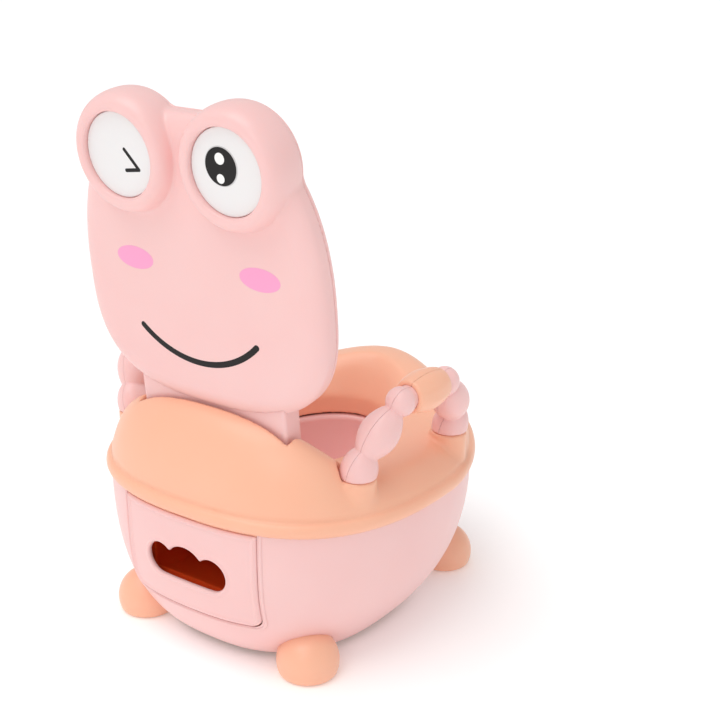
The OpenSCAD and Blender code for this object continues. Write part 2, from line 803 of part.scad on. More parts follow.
module lid_screws() {
    color(STEEL)
        place_lid()
            for (q = lid_screw_list)
                translate([q.x, lid_under + 3, q.y])
                    rotate([90, 0, 0])
                        screw(3, 1.8, 1.4, 11);
}
module eye_disc(sx) {
    color(WHITE)
        place_lid()
            translate([sx * eye_gap / 2, disc_y - disc_t, eye_v])
                rotate([-90, 0, 0])
                    cylinder(r = disc_r, h = disc_t, $fn = round_fn);
}
module eye_disc_left() eye_disc(1);
module eye_disc_right() eye_disc(-1);

pin_in = neck_w / 2 - 20;            // inner end of a pin
module hinge_pin(sx) {
    color(STEEL)
        translate([0, hinge_y, hinge_z])
            rotate([0, sx * 90, 0]) {
                translate([0, 0, pin_in])
                    cylinder(d = pin_d, h = slot_x + cheek_t - pin_in + eps, $fn = round_fn);
                translate([0, 0, slot_x + cheek_t])
                    cylinder(d = pin_d + 4, h = 2, $fn = round_fn);
            }
}
module hinge_pin_left() hinge_pin(1);
module hinge_pin_right() hinge_pin(-1);

// ---------------------------------------------------------------- arm rests
arm_mid = [(arm_x_rear + arm_x_front) / 2, (arm_y_rear + arm_y_front) / 2];
arm_half = norm([arm_x_rear - arm_x_front, arm_y_rear - arm_y_front]) / 2;
arm_yaw = atan2(arm_x_front - arm_x_rear, arm_y_rear - arm_y_front);
grip_t = 55.5;                 // grip axis above the seat, along the lean
grip_half = 18.5;
grip_end_r = 12;
core_r = 9;
small_s = 26.5;
small_r = 11;
base_r = 13.8;
long_ends = [[arm_half - 1.2, 18], [small_s + 5, grip_t - 7.5]];

// Upright frame of the left arm rest: x outward, y along, z up along the lean
module arm_frame() {
    translate([arm_mid.x, arm_mid.y, arm_z])
        rotate([0, 0, arm_yaw])
            rotate([0, arm_lean, 0])
                children();
}
module barrel(len, r_end, r_mid, steps) {
    rotate_extrude($fn = round_fn)
        polygon(concat(
            [[0, 0]],
            [for (i = [0 : steps]) [r_end + (r_mid - r_end) * pow(sin(180 * i / steps), 0.85), len * i / steps]],
            [[0, len]]
        ));
}
// A barrel from point a to point b in the plane of the arm rest
module barrel_between(a, b, r_end, r_mid) {
    d = b - a;
    translate([0, a.x, a.y])
        rotate([-atan2(d.x, d.y), 0, 0])
            barrel(norm(d), r_end, r_mid, 10);
}
module arm_base() {
    rotate_extrude($fn = round_fn)
        polygon([[0, -6], [12, -6], [13.2, 0], [base_r, 6], [13.2, 12], [11, 17.5], [8, 21.5], [5, 23.5], [0, 24]]);
}
module arm_solid() {
    difference() {
        arm_frame() {
            for (s = [-1, 1])
                mirror([0, s > 0 ? 0 : 1, 0]) {
                    translate([0, arm_half, 0]) arm_base();
                    barrel_between(long_ends[0], long_ends[1], 7.5, bead_r);
                    translate([0, small_s, grip_t - 1]) sphere(r = small_r, $fn = round_fn);
                }
            translate([0, 30, grip_t])
                rotate([90, 0, 0])
                    cylinder(r = core_r, h = 60, $fn = round_fn);
        }
        translate([0, -150, arm_z - 40])
            cube([300, 300, 40]);
    }
}
module arm_pegs() {
    for (q = [[arm_x_rear, arm_y_rear], [arm_x_front, arm_y_front]])
        translate([q.x, q.y, arm_z - peg_len + 2])
            cylinder(r = peg_r, h = peg_len + 4, $fn = round_fn);
}
module arm_bores() {
    for (q = [[arm_x_rear, arm_y_rear], [arm_x_front, arm_y_front]])
        translate([q.x, q.y, arm_z - peg_len])
            cylinder(r = 1.5, h = peg_len + 3, $fn = round_fn);
    arm_frame()
        translate([0, 30, grip_t])
            rotate([90, 0, 0])
                cylinder(r = core_r - 2.5, h = 60, $fn = round_fn);
}
// The half space outside (side = 1) or inside (side = -1) the seam of an arm rest
module seam_side(side) {
    arm_frame()
        translate([side > 0 ? 0.05 : -80.05, -120, -60])
            cube([80, 240, 180]);
}
module arm_half_shell(side) {
    difference() {
        intersection() {
            union() {
                arm_solid();
                arm_pegs();
            }
            seam_side(side);
        }
        arm_bores();
    }
}
module grip_half_shell(side) {
    difference() {
        intersection() {
            arm_frame()
                translate([0, grip_half, grip_t])
                    rotate([90, 0, 0])
                        barrel(2 * grip_half, grip_end_r, grip_r, 12);
            seam_side(side);
        }
        arm_frame()
            translate([0, 40, grip_t])
                rotate([90, 0, 0])
                    cylinder(r = core_r + 0.05, h = 80, $fn = round_fn);
        // hollows for the small beads at both ends
        arm_frame()
            for (s = [-1, 1])
                translate([0, s * small_s, grip_t - 1])
                    sphere(r = small_r + 0.25, $fn = round_fn);
    }
}
module arm_left_outer() color(PINK) arm_half_shell(1);
module arm_left_inner() color(PINK) arm_half_shell(-1);
module arm_right_outer() color(PINK) mirror([1, 0, 0]) arm_half_shell(1);
module arm_right_inner() color(PINK) mirror([1, 0, 0]) arm_half_shell(-1);
module grip_left_outer() color(ORANGE) grip_half_shell(1);
module grip_left_inner() color(ORANGE) grip_half_shell(-1);
module grip_right_outer() color(ORANGE) mirror([1, 0, 0]) grip_half_shell(1);
module grip_right_inner() color(ORANGE) mirror([1, 0, 0]) grip_half_shell(-1);
module arm_screws() {
    color(STEEL)
        at_arm_ends()
            translate([0, 0, arm_z - peg_len - 1])
                mirror([0, 0, 1])
                    screw(3.8, 2, 1.5, 12);
}

body_shell();
base_tray();
foot_rear_left();
foot_rear_right();
foot_front_left();
foot_front_right();
foot_screws();
seat_cover();
seat_screws();
drawer_tray();
drawer_front();
drawer_bowl();
drawer_screws();
lid_face_shell();
lid_back_panel();
lid_screws();
eye_disc_left();
eye_disc_right();
hinge_pin_left();
hinge_pin_right();
arm_left_outer();
arm_left_inner();
arm_right_outer();
arm_right_inner();
grip_left_outer();
grip_left_inner();
grip_right_outer();
grip_right_inner();
arm_screws();
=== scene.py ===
# %% [markdown]
# # A toddler's potty training chair
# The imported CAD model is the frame: it says where every piece is and how it moves.
# This lesson gives each piece its moulded skin, and each skin its plastic.
# Lengths are in millimetres until a mesh is made, because moulded parts are drawn that way.

# %% Load the frame
import json
import math
import bmesh
import bpy
import numpy as np
from mathutils import Matrix, Vector

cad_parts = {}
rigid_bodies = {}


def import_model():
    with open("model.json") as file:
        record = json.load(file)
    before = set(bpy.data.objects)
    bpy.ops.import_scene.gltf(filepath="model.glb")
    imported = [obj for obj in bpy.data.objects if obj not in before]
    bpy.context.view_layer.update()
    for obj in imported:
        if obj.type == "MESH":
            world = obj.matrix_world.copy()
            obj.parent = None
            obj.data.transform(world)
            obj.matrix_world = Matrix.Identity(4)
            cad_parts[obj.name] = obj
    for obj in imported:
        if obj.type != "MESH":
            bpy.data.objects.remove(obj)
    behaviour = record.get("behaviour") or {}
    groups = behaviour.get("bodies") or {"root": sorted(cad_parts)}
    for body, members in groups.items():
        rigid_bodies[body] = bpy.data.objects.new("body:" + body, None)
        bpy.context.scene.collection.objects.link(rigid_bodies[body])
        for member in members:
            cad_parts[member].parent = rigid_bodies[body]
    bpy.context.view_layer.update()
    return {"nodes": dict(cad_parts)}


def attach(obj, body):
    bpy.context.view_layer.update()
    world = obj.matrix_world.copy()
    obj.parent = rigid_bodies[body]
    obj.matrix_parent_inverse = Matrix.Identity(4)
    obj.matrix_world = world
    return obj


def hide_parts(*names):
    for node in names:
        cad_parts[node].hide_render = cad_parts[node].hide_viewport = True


for leftover in list(bpy.data.objects):
    bpy.data.objects.remove(leftover)
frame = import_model()
MM = 0.001


# %% [markdown]
# ## Sizes
# These are the chair's own dimensions. The outline of the seat and the tub is a superellipse,
# squarer at the rear than at the front, as on most bucket-shaped mouldings.

# %% Name the sizes
RIM_HALF_WIDTH = 140.0
RIM_MIDDLE = 4.0                 # how far the widest line sits behind the middle
RIM_REAR, RIM_FRONT = 152.0, 160.0
SQUARE_REAR, SQUARE_FRONT = 2.6, 1.7
BAND_LOW, BAND_HIGH = 124.0, 137.0
BEAD_R = (BAND_HIGH - BAND_LOW) / 2                         # the band is one rolled bead
HOLE_HALF = (53.0, 77.0)
HOLE_MIDDLE = -6.0
HINGE = np.array([0.0, 92.0, 163.0])
LEAN = math.radians(6.0)         # the open lid leans this far past upright
SLOT_HALF_WIDTH = 70.0
SLOT_FRONT, SLOT_REAR, SLOT_FLOOR = 79.0, 117.8, 142.0
SLOT_WALL = 3.0
ARM_SEAT = 160.0                 # where an arm rest stands
PAD_R, RECESS_R, LINING_R = 14.2, 14.9, 17.8                # round pad, its recess, and the wall round that
ARM_REAR, ARM_FRONT = np.array([106.5, 84.0]), np.array([115.5, -27.0])
EYE_X, EYE_V = 46.7, 223.0       # eye centre on the lid: across, and above the hinge

# %% [markdown]
# ## Moulded forms as fields
# A moulded part is all fillets and soft crowns, which are tedious to bevel by hand. So each form is
# written as a field: a number at every point in space that is negative inside the plastic. Joining two
# fields with a rounded "or" gives a fillet, and with a rounded "and" gives a rounded edge.

# %% Join fields
def hypot(*parts):
    return np.sqrt(sum(np.square(p) for p in parts))


def either(a, b, fillet=0.0):
    """Both forms, with a fillet where they meet."""
    if fillet <= 0:
        return np.minimum(a, b)
    u, v = np.maximum(fillet - a, 0), np.maximum(fillet - b, 0)
    return np.maximum(fillet, np.minimum(a, b)) - np.sqrt(u * u + v * v)


def both(a, b, round_=0.0):
    """What the two forms share, with a rounded edge."""
    return -either(-a, -b, round_)


def without(a, b, round_=0.0):
    """Form a with form b cut out of it."""
    return both(a, -b, round_)


def smooth(v):
    v = np.clip(v, 0, 1)
    return v * v * (3 - 2 * v)


# %% [markdown]
# A field becomes a mesh by "surface nets": space is cut into small cells, each cell that the surface
# crosses gets one point, and neighbouring points are joined into quads. The points are then evened out
# and pulled onto the surface itself, so the highlights run smoothly over the plastic.

# %% Turn a field into a skin
def net(field, low, high, cell):
    """Points and quads of the closed surface where the field is zero."""
    axes = [np.arange(l - 2 * cell, h + 3 * cell, cell, dtype=np.float32) for l, h in zip(low, high)]
    x, y, z = np.meshgrid(*axes, indexing="ij", sparse=True)
    shape = tuple(len(a) for a in axes)
    value = np.broadcast_to(field(x, y, z), shape).astype(np.float32)
    inside = value < 0
    count = np.zeros(tuple(n - 1 for n in shape), np.int8)
    for i in (0, 1):
        for j in (0, 1):
            for k in (0, 1):
                count += inside[i:shape[0] - 1 + i, j:shape[1] - 1 + j, k:shape[2] - 1 + k]
    mixed = (count > 0) & (count < 8)
    index = np.full(count.shape, -1, np.int64)
    index[mixed] = np.arange(mixed.sum())
    cells = np.argwhere(mixed)
    points = np.stack([axes[a][cells[:, a]] for a in range(3)], 1) + cell / 2
    quads = []
    for a in range(3):
        order = (a, (a + 1) % 3, (a + 2) % 3)
        ins, idx = np.transpose(inside, order), np.transpose(index, order)
        i, j, k = np.nonzero(ins[:-1] != ins[1:])
        quad = np.stack([idx[i, j - 1, k - 1], idx[i, j, k - 1], idx[i, j, k], idx[i, j - 1, k]], 1)
        backward = ~ins[:-1][i, j, k]
        quad[backward] = quad[backward][:, ::-1]
        quads.append(quad)
    return points.astype(float), np.concatenate(quads)


def settle(field, points, quads, cell, rounds=5):
    """Evens the points out and pulls them onto the zero surface."""
    ends = np.concatenate([quads[:, [0, 1]], quads[:, [1, 2]], quads[:, [2, 3]], quads[:, [3, 0]]])
    valence = np.bincount(ends[:, 0], minlength=len(points)) + np.bincount(ends[:, 1], minlength=len(points))
    probe = 0.02 * cell
    for turn in range(rounds):
        if turn < rounds - 1:
            total = np.zeros_like(points)
            for c in range(3):
                total[:, c] = (np.bincount(ends[:, 0], points[ends[:, 1], c], len(points))
                               + np.bincount(ends[:, 1], points[ends[:, 0], c], len(points)))
            points = points + 0.6 * (total / valence[:, None] - points)
        for _ in range(2):
            here = field(*points.T)
            slope = np.stack([
                field(*(points + probe * np.eye(3)[c]).T) - field(*(points - probe * np.eye(3)[c]).T)
                for c in range(3)], 1) / (2 * probe)
            step = here[:, None] * slope / np.maximum((slope ** 2).sum(1), 0.05)[:, None]
            length = np.linalg.norm(step, axis=1, keepdims=True)
            points = points - step * np.minimum(1, 0.6 * cell / np.maximum(length, 1e-9))
    return points


def points_mesh(name, points, edges=(), faces=()):
    """A mesh from points in millimetres."""
    mesh = bpy.data.meshes.new(name)
    mesh.from_pydata((np.asarray(points, float) * MM).tolist(), edges, faces)
    return mesh


def stand(name, data):
    """Puts a mesh, a lamp or a camera into the scene as an object at the origin."""
    made = bpy.data.objects.new(name, data)
    bpy.context.scene.collection.objects.link(made)
    return made


def mesh_piece(name, points, faces, place=None):
    """A piece from points in millimetres; place maps its own frame to the chair's."""
    points = np.asarray(points, float)
    if place is not None:
        points = place(points)
    mesh = points_mesh(name, points, [], [list(map(int, f)) for f in faces])
    mesh.validate()
    mesh.shade_smooth()
    return stand(name, mesh)


def evaluated_mesh(piece):
    """The plain mesh that a piece's modifiers make of it."""
    bpy.context.view_layer.update()
    ready = piece.evaluated_get(bpy.context.evaluated_depsgraph_get())
    return bpy.data.meshes.new_from_object(ready)


def turn_outward(mesh, merge=0.0):
    """Merges points closer than that many metres, then turns every face outwards."""
    bm = bmesh.new()
    bm.from_mesh(mesh)
    if merge:
        bmesh.ops.remove_doubles(bm, verts=bm.verts, dist=merge)
    bmesh.ops.recalc_face_normals(bm, faces=bm.faces)
    bm.to_mesh(mesh)
    bm.free()


def carve(name, field, low, high, cell, place=None):
    points, quads = net(field, low, high, cell)
    points = settle(field, points, quads, cell)
    piece = mesh_piece(name, points, quads, place)
    print(f"{name}: {len(quads)} quads at {cell:.2f} mm")
    return piece


# %% [markdown]
# ## Plastics
# Every shell is injection-moulded polypropylene: a waxy, slightly translucent plastic. Light enters
# it a few millimetres and comes out tinted, so edges glow, and the mould's fine spark texture keeps
# the highlight soft. A little subsurface scattering, a broad highlight and two scales of shallow
# bump give that.

# %% Colours and the node helper
def linear(hex_colour):
    """sRGB hex to linear RGBA."""
    parts = [int(hex_colour[i:i + 2], 16) / 255 for i in (1, 3, 5)]
    return [c / 12.92 if c <= 0.04045 else ((c + 0.055) / 1.055) ** 2.4 for c in parts] + [1.0]


def add(tree, kind, inputs=None, **settings):
    """Adds a node with its settings; an input is a value or another node's output socket."""
    node = tree.nodes.new(kind)
    for key, value in settings.items():
        setattr(node, key, value)
    for key, value in (inputs or {}).items():
        socket = node.inputs[key]
        if isinstance(value, bpy.types.NodeSocket):
            tree.links.new(value, socket)
        else:
            socket.default_value = value
    return node


def material(name):
    made = bpy.data.materials.new(name)
    made.use_nodes = True
    tree = made.node_tree
    return made, tree, tree.nodes["Principled BSDF"]


def moulded_polypropylene(name, colour, deep, roughness=0.34, scatter=0.12):
    """Waxy moulded plastic; colour is its face, deep the slightly fuller tone where it is thick."""
    made, tree, shader = material(name)
    where = add(tree, "ShaderNodeTexCoord").outputs["Object"]
    # flow marks: very faint clouds some 60 mm across, from the melt cooling unevenly
    clouds = add(tree, "ShaderNodeTexNoise", {"Vector": where, "Scale": 16.0, "Detail": 2.0})
    mix = add(tree, "ShaderNodeMix", {"Factor": clouds.outputs["Fac"], 6: linear(colour), 7: linear(deep)},
              data_type="RGBA")
    # spark texture of the mould, really 0.1 mm, drawn at 0.5 mm so that it shows
    grain = add(tree, "ShaderNodeTexNoise", {"Vector": where, "Scale": 2000.0, "Detail": 2.0})
    # shrinkage waves about 30 mm long bend the reflections a little
    waves = add(tree, "ShaderNodeTexNoise", {"Vector": where, "Scale": 33.0, "Detail": 1.0})
    fine = add(tree, "ShaderNodeBump", {"Height": grain.outputs["Fac"], "Strength": 0.05, "Distance": 0.0002})
    bump = add(tree, "ShaderNodeBump", {"Height": waves.outputs["Fac"], "Strength": 0.12, "Distance": 0.001,
                                        "Normal": fine.outputs["Normal"]})
    gloss = add(tree, "ShaderNodeMapRange", {"Value": clouds.outputs["Fac"], "To Min": roughness - 0.03,
                                             "To Max": roughness + 0.04})
    tree.links.new(mix.outputs[2], shader.inputs["Base Color"])
    tree.links.new(gloss.outputs["Result"], shader.inputs["Roughness"])
    tree.links.new(bump.outputs["Normal"], shader.inputs["Normal"])
    shader.inputs["IOR"].default_value = 1.49
    shader.inputs["Subsurface Weight"].default_value = scatter
    shader.inputs["Subsurface Radius"].default_value = (1.0, 0.55, 0.4)
    shader.inputs["Subsurface Scale"].default_value = 0.004
    return made


PINK = moulded_polypropylene("pink_moulded_polypropylene", "#fbd0cd", "#f9c7c4")
ORANGE = moulded_polypropylene("orange_moulded_polypropylene", "#ffc3a5", "#ffbc9c")
# the drawer tray's orange deepened to red-orange is painted shade: it stands for the dim, orange-tinted light
# bouncing round inside the drawer's cavity
PAINTED_SHADE_TRAY_ORANGE = moulded_polypropylene("orange_moulded_polypropylene_with_painted_cavity_shade", "#fb5c26", "#f4531d")
WHITE = moulded_polypropylene("white_moulded_polypropylene", "#f4f1f1", "#efeceb", 0.25, 0.05)


def pad_print_ink(name, colour, specular=0.5):
    """Pad-printed ink: an opaque film, a little mottled where the silicone pad lifted off."""
    made, tree, shader = material(name)
    where = add(tree, "ShaderNodeTexCoord").outputs["Object"]
    mottle = add(tree, "ShaderNodeTexNoise", {"Vector": where, "Scale": 700.0, "Detail": 2.0})
    shade = add(tree, "ShaderNodeMapRange", {"Value": mottle.outputs["Fac"], "To Min": 0.35,
                                             "To Max": 0.48})
    tree.links.new(shade.outputs["Result"], shader.inputs["Roughness"])
    shader.inputs["Base Color"].default_value = linear(colour)
    shader.inputs["IOR"].default_value = 1.5
    shader.inputs["Specular IOR Level"].default_value = specular
    return made


BLACK_INK = pad_print_ink("black_pad_print_ink", "#120d0d", specular=0.3)
WHITE_INK = pad_print_ink("white_pad_print_ink", "#fbfaf8")
GREY_INK = pad_print_ink("grey_pad_print_ink", "#cfcccc")
BLUSH_INK = pad_print_ink("blush_pad_print_ink", "#fda6cf")


def zinc_plated_steel():
    """Bright zinc on steel screws and pins, with fine turning marks about 0.4 mm apart."""
    made, tree, shader = material("zinc_plated_steel")
    where = add(tree, "ShaderNodeTexCoord").outputs["Object"]
    marks = add(tree, "ShaderNodeTexNoise", {"Vector": where, "Scale": 2500.0, "Detail": 3.0})
    bump = add(tree, "ShaderNodeBump", {"Height": marks.outputs["Fac"], "Strength": 0.2, "Distance": 0.0001})
    rough = add(tree, "ShaderNodeMapRange", {"Value": marks.outputs["Fac"], "To Min": 0.25, "To Max": 0.42})
    tree.links.new(bump.outputs["Normal"], shader.inputs["Normal"])
    tree.links.new(rough.outputs["Result"], shader.inputs["Roughness"])
    shader.inputs["Base Color"].default_value = linear("#c9cacd")
    shader.inputs["Metallic"].default_value = 1.0
    return made


STEEL = zinc_plated_steel()


def dress(piece, finish):
    piece.data.materials.clear()
    piece.data.materials.append(finish)


def settle_piece(piece, body, slot, finish, *nodes):
    """The last step for every piece: its plastic, its body, and the CAD nodes it stands for."""
    dress(piece, finish)
    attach(piece, body)
    if nodes:
        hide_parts(*nodes)


# %% [markdown]
# ## The seat cover
# One orange moulding: a rolled band that clips over the tub, a seat that dishes towards the opening,
# a splash guard in front, a hump behind with the slot for the lid's neck, and four round pads for the
# arm rests. Its surface follows a rule in the distance from the middle to the rim, so the field uses it.

# %% Seat surface
def share_to_rim(x, y, inset=0.0):
    """0 in the middle of the seat, 1 on an outline inset from the rim."""
    rear = y > RIM_MIDDLE
    n = np.where(rear, SQUARE_REAR, SQUARE_FRONT)
    half_length = np.where(rear, RIM_REAR, RIM_FRONT) - inset
    across = np.abs(x) / (RIM_HALF_WIDTH - inset)
    along = np.abs(y - RIM_MIDDLE) / half_length
    return np.power(np.power(across, n) + np.power(along, n) + 1e-12, 1 / n)


def measured(flat_field, x, y, probe=0.25):
    """A field over x and y, scaled so that it reads as a distance near its edge."""
    value = flat_field(x, y)
    gx = (flat_field(x + probe, y) - flat_field(x - probe, y)) / (2 * probe)
    gy = (flat_field(x, y + probe) - flat_field(x, y - probe)) / (2 * probe)
    return value / np.maximum(np.sqrt(gx * gx + gy * gy), 1e-4)


def quarter_round(v):
    """1 at 0, falling to 0 at 1 as a quarter of a circle does."""
    return np.sqrt(np.maximum(1 - np.square(np.clip(v, 0, 1)), 0))


DOME_INSET = 4.0                 # the dome starts this far inside the band
WALL = 4.2                       # of the seat cover
DISH_RISE, GUARD_RISE, HUMP_RISE = 19.0, 21.0, 48.0
DISH_CREST, GUARD_CREST, HUMP_CREST = 0.80, 0.70, 0.68      # where each is highest, as a share to the rim
GUARD_FOOT = 0.55
HUMP_START, HUMP_END, HUMP_SIDE = 62.0, 120.0, 130.0
CREASE_IN, CREASE_Z = 4.4, BAND_HIGH - 0.4
CREASE_DEPTH, CREASE_WIDTH = 1.2, 1.8


def seat_height(x, y, inset=DOME_INSET):
    """Height of the seat's upper surface."""
    q = share_to_rim(x, y, inset)
    outer = 1 - np.square((q - DISH_CREST) / (1 - DISH_CREST))
    dish = np.where(q > DISH_CREST, DISH_RISE * outer,
                    DISH_RISE - 15 * np.square(np.clip((DISH_CREST - q) / 0.4, 0, 1)))
    reach = np.maximum(hypot(x, y - RIM_MIDDLE), 1)
    ahead = np.power(np.clip((RIM_MIDDLE - y) / reach, 0, 1), 6)
    outer_guard = quarter_round((q - GUARD_CREST) / (1 - GUARD_CREST))
    inner_guard = smooth((q - GUARD_FOOT) / (GUARD_CREST - GUARD_FOOT))
    guard = GUARD_RISE * ahead * np.where(q > GUARD_CREST, outer_guard, inner_guard)
    hump = HUMP_RISE * (1 - 0.24 * np.square(x / 100)) * smooth((HUMP_SIDE - np.abs(x)) / 36)
    hump = hump * smooth((y - HUMP_START) / (HUMP_END - HUMP_START))
    hump = hump * quarter_round((q - HUMP_CREST) / (1 - HUMP_CREST))
    return BAND_HIGH - 1 + dish + guard + hump


def rounded_box(x, y, x0, x1, y0, y1, corner):
    u = np.abs(x - (x0 + x1) / 2) - (x1 - x0) / 2 + corner
    v = np.abs(y - (y0 + y1) / 2) - (y1 - y0) / 2 + corner
    return hypot(np.maximum(u, 0), np.maximum(v, 0)) + np.minimum(np.maximum(u, v), 0) - corner


def seat_field(x, y, z):
    outline = measured(lambda a, b: share_to_rim(a, b) - 1, x, y)
    dome_edge = outline + DOME_INSET
    height = seat_height(x, y)
    step = 0.5
    slope = hypot((seat_height(x + step, y) - seat_height(x - step, y)) / (2 * step),
                  (seat_height(x, y + step) - seat_height(x, y - step)) / (2 * step), 1.0)
    above = (z - height) / np.minimum(slope, 6)
    hole = measured(lambda a, b: hypot(a / HOLE_HALF[0], (b - HOLE_MIDDLE) / HOLE_HALF[1]) - 1, x, y)
    # the seat rolls softly over into the hole; the wall inside it follows the rolled form
    solid = both(both(above, dome_edge, 1.0), -hole, 12.0)
    under = (z - seat_height(x, y, DOME_INSET + 3.4) + WALL) / np.minimum(slope, 3)
    shell = without(solid, np.maximum(under, solid + WALL))
    slot = rounded_box(x, y, -SLOT_HALF_WIDTH, SLOT_HALF_WIDTH, SLOT_FRONT, SLOT_REAR, 2.0)
    well = np.maximum(np.maximum(slot - SLOT_WALL, above), SLOT_FLOOR - SLOT_WALL - z)
    body = either(shell, well)
    # arm pads grow out of the seat with a small fillet, and their recesses are cut after
    for foot in (ARM_REAR, ARM_FRONT):
        post = hypot(np.abs(x) - foot[0], y - foot[1])
        pad = both(post - PAD_R, np.maximum(z - ARM_SEAT, ARM_SEAT - 24 - z), 1.2)
        lining = np.maximum(np.maximum(post - LINING_R, above), ARM_SEAT - 6 - z)
        body = either(either(body, lining), pad, 3.0)
        recess = np.maximum(post - RECESS_R, ARM_SEAT - z)
        body = without(body, recess, 0.6)
    bead = hypot(outline + BEAD_R, z - (BAND_LOW + BAND_HIGH) / 2) - BEAD_R
    body = either(body, bead, 0.8)
    # a soft crease where the dome meets the band, pressed in rather than cut, so that it leaves no thin lip
    body = body + CREASE_DEPTH * np.exp(-np.square(hypot(outline + CREASE_IN, z - CREASE_Z) / CREASE_WIDTH))
    body = without(body, np.maximum(slot, SLOT_FLOOR - z), 2.2)
    return np.maximum(body, BAND_LOW - 1 - z)


seat = carve("seat_shell", seat_field, (-140, -156, 123), (140, 156, 205), 1.73)
settle_piece(seat, "chair", "orange_plastic", ORANGE, "seat_cover")
print("seat top", round(max(v.co.z for v in seat.data.vertices) / MM, 1), "mm")

# %% [markdown]
# ## The tub
# The tub's outline shrinks from the rim to the floor by a rule too, so this main piece is made with
# Geometry Nodes: a grid whose two directions are the angle round the tub and the height up its wall.

# %% Trees and what grows from them
def new_tree(name, sizes):
    """A Geometry Nodes tree with named number inputs and one geometry output."""
    tree = bpy.data.node_groups.new(name, "GeometryNodeTree")
    tree.interface.new_socket("Geometry", in_out="INPUT", socket_type="NodeSocketGeometry")
    for label, default in sizes.items():
        socket = tree.interface.new_socket(label, in_out="INPUT", socket_type="NodeSocketFloat")
        socket.default_value = default
    tree.interface.new_socket("Geometry", in_out="OUTPUT", socket_type="NodeSocketGeometry")
    return tree, add(tree, "NodeGroupInput").outputs


def finish_tree(tree, geometry, finish):
    """Realize Instances, Set Material and the output."""
    real = add(tree, "GeometryNodeRealizeInstances", {"Geometry": geometry})
    coated = add(tree, "GeometryNodeSetMaterial", {"Geometry": real.outputs[0], "Material": finish})
    add(tree, "NodeGroupOutput", {"Geometry": coated.outputs[0]})


def grown(name, tree, start=None, **sizes):
    """Runs a tree on a start mesh and keeps the plain mesh that it grows."""
    mesh = start or bpy.data.meshes.new(name + "_start")
    seed = stand(name + "_seed", mesh)
    modifier = seed.modifiers.new("grow", "NODES")
    modifier.node_group = tree
    for item in tree.interface.items_tree:
        if item.in_out == "INPUT" and item.name in sizes:
            modifier[item.identifier] = sizes[item.name]
    result = evaluated_mesh(seed)
    bpy.data.objects.remove(seed)
    result.name = name
    result.shade_smooth()
    print(f"{name}: {len(result.polygons)} faces grown")
    return stand(name, result)


# %% [markdown]
# The tub's rule is a short recipe of sums. Each line of the list names a result, says how it is worked
# out, and from which earlier results or numbers; a loop then adds one Math node for each line.

# %% Write the tub's rule
TUB_SIZES = {"Half width": 136.4, "Rear": 148.4, "Front": 156.4, "Middle": RIM_MIDDLE,
             "Low": 5.0, "High": 129.0, "Wall": 3.0}
# share of each length lost at the floor, and how late it goes
DRAW_IN = {"Half width": (0.352, 2.33), "Rear": (0.218, 4.7), "Front": (0.16, 3.0)}
TUB_DROP = 120.0
TUB_RULE = [
    ("angle", "MULTIPLY", "grid x", 2 * math.pi),
    ("along", "ADD", "grid y", 0.5),
    # up the outside and down the inside: the height runs from low to high and back
    ("fold", "MULTIPLY_ADD", "along", 2.0, -1.0),
    ("unfold", "ABSOLUTE", "fold"),
    ("climb", "SUBTRACT", 1.0, "unfold"),
    ("tall", "SUBTRACT", "High", "Low"),
    ("height", "MULTIPLY_ADD", "climb", "tall", "Low"),
    # the wall's two faces, joined over a short way at its upper and lower edge
    ("turn", "MULTIPLY", "along", 2 * math.pi),
    ("wave", "SINE", "turn"),
    ("steep wave", "MULTIPLY", "wave", 18.0),
    ("capped", "MINIMUM", "steep wave", 1.0),
    ("side", "MAXIMUM", "capped", -1.0),
    ("share in", "MULTIPLY_ADD", "side", -0.5, 0.5),
    ("inset", "MULTIPLY", "share in", "Wall"),
    # how far down from the band, and which half of the superellipse
    ("below", "SUBTRACT", BAND_LOW, "height"),
    ("below share", "DIVIDE", "below", TUB_DROP),
    ("drop", "MAXIMUM", "below share", 0.0),
    ("across", "COSINE", "angle"),
    ("ahead", "SINE", "angle"),
    ("rearward", "GREATER_THAN", "ahead", 0.0),
    ("bend", "MULTIPLY_ADD", "rearward", 2 / SQUARE_REAR - 2 / SQUARE_FRONT, 2 / SQUARE_FRONT),
]
for name, (amount, power) in DRAW_IN.items():
    TUB_RULE += [(name + " curve", "POWER", "drop", power),
                 (name + " left", "MULTIPLY_ADD", name + " curve", -amount, 1.0),
                 (name + " now", "MULTIPLY", name, name + " left")]
for way in ("across", "ahead"):
    TUB_RULE += [(way + " length", "ABSOLUTE", way), (way + " sign", "SIGN", way),
                 (way + " bent", "POWER", way + " length", "bend"),
                 (way + " share", "MULTIPLY", way + " bent", way + " sign")]
TUB_RULE += [
    ("half width", "SUBTRACT", "Half width now", "inset"),
    ("rear over front", "SUBTRACT", "Rear now", "Front now"),
    ("outer length", "MULTIPLY_ADD", "rearward", "rear over front", "Front now"),
    ("half length", "SUBTRACT", "outer length", "inset"),
    ("spot x", "MULTIPLY", "half width", "across share"),
    ("spot y", "MULTIPLY_ADD", "half length", "ahead share", "Middle"),
]
print(len(TUB_RULE), "steps in the tub's rule")

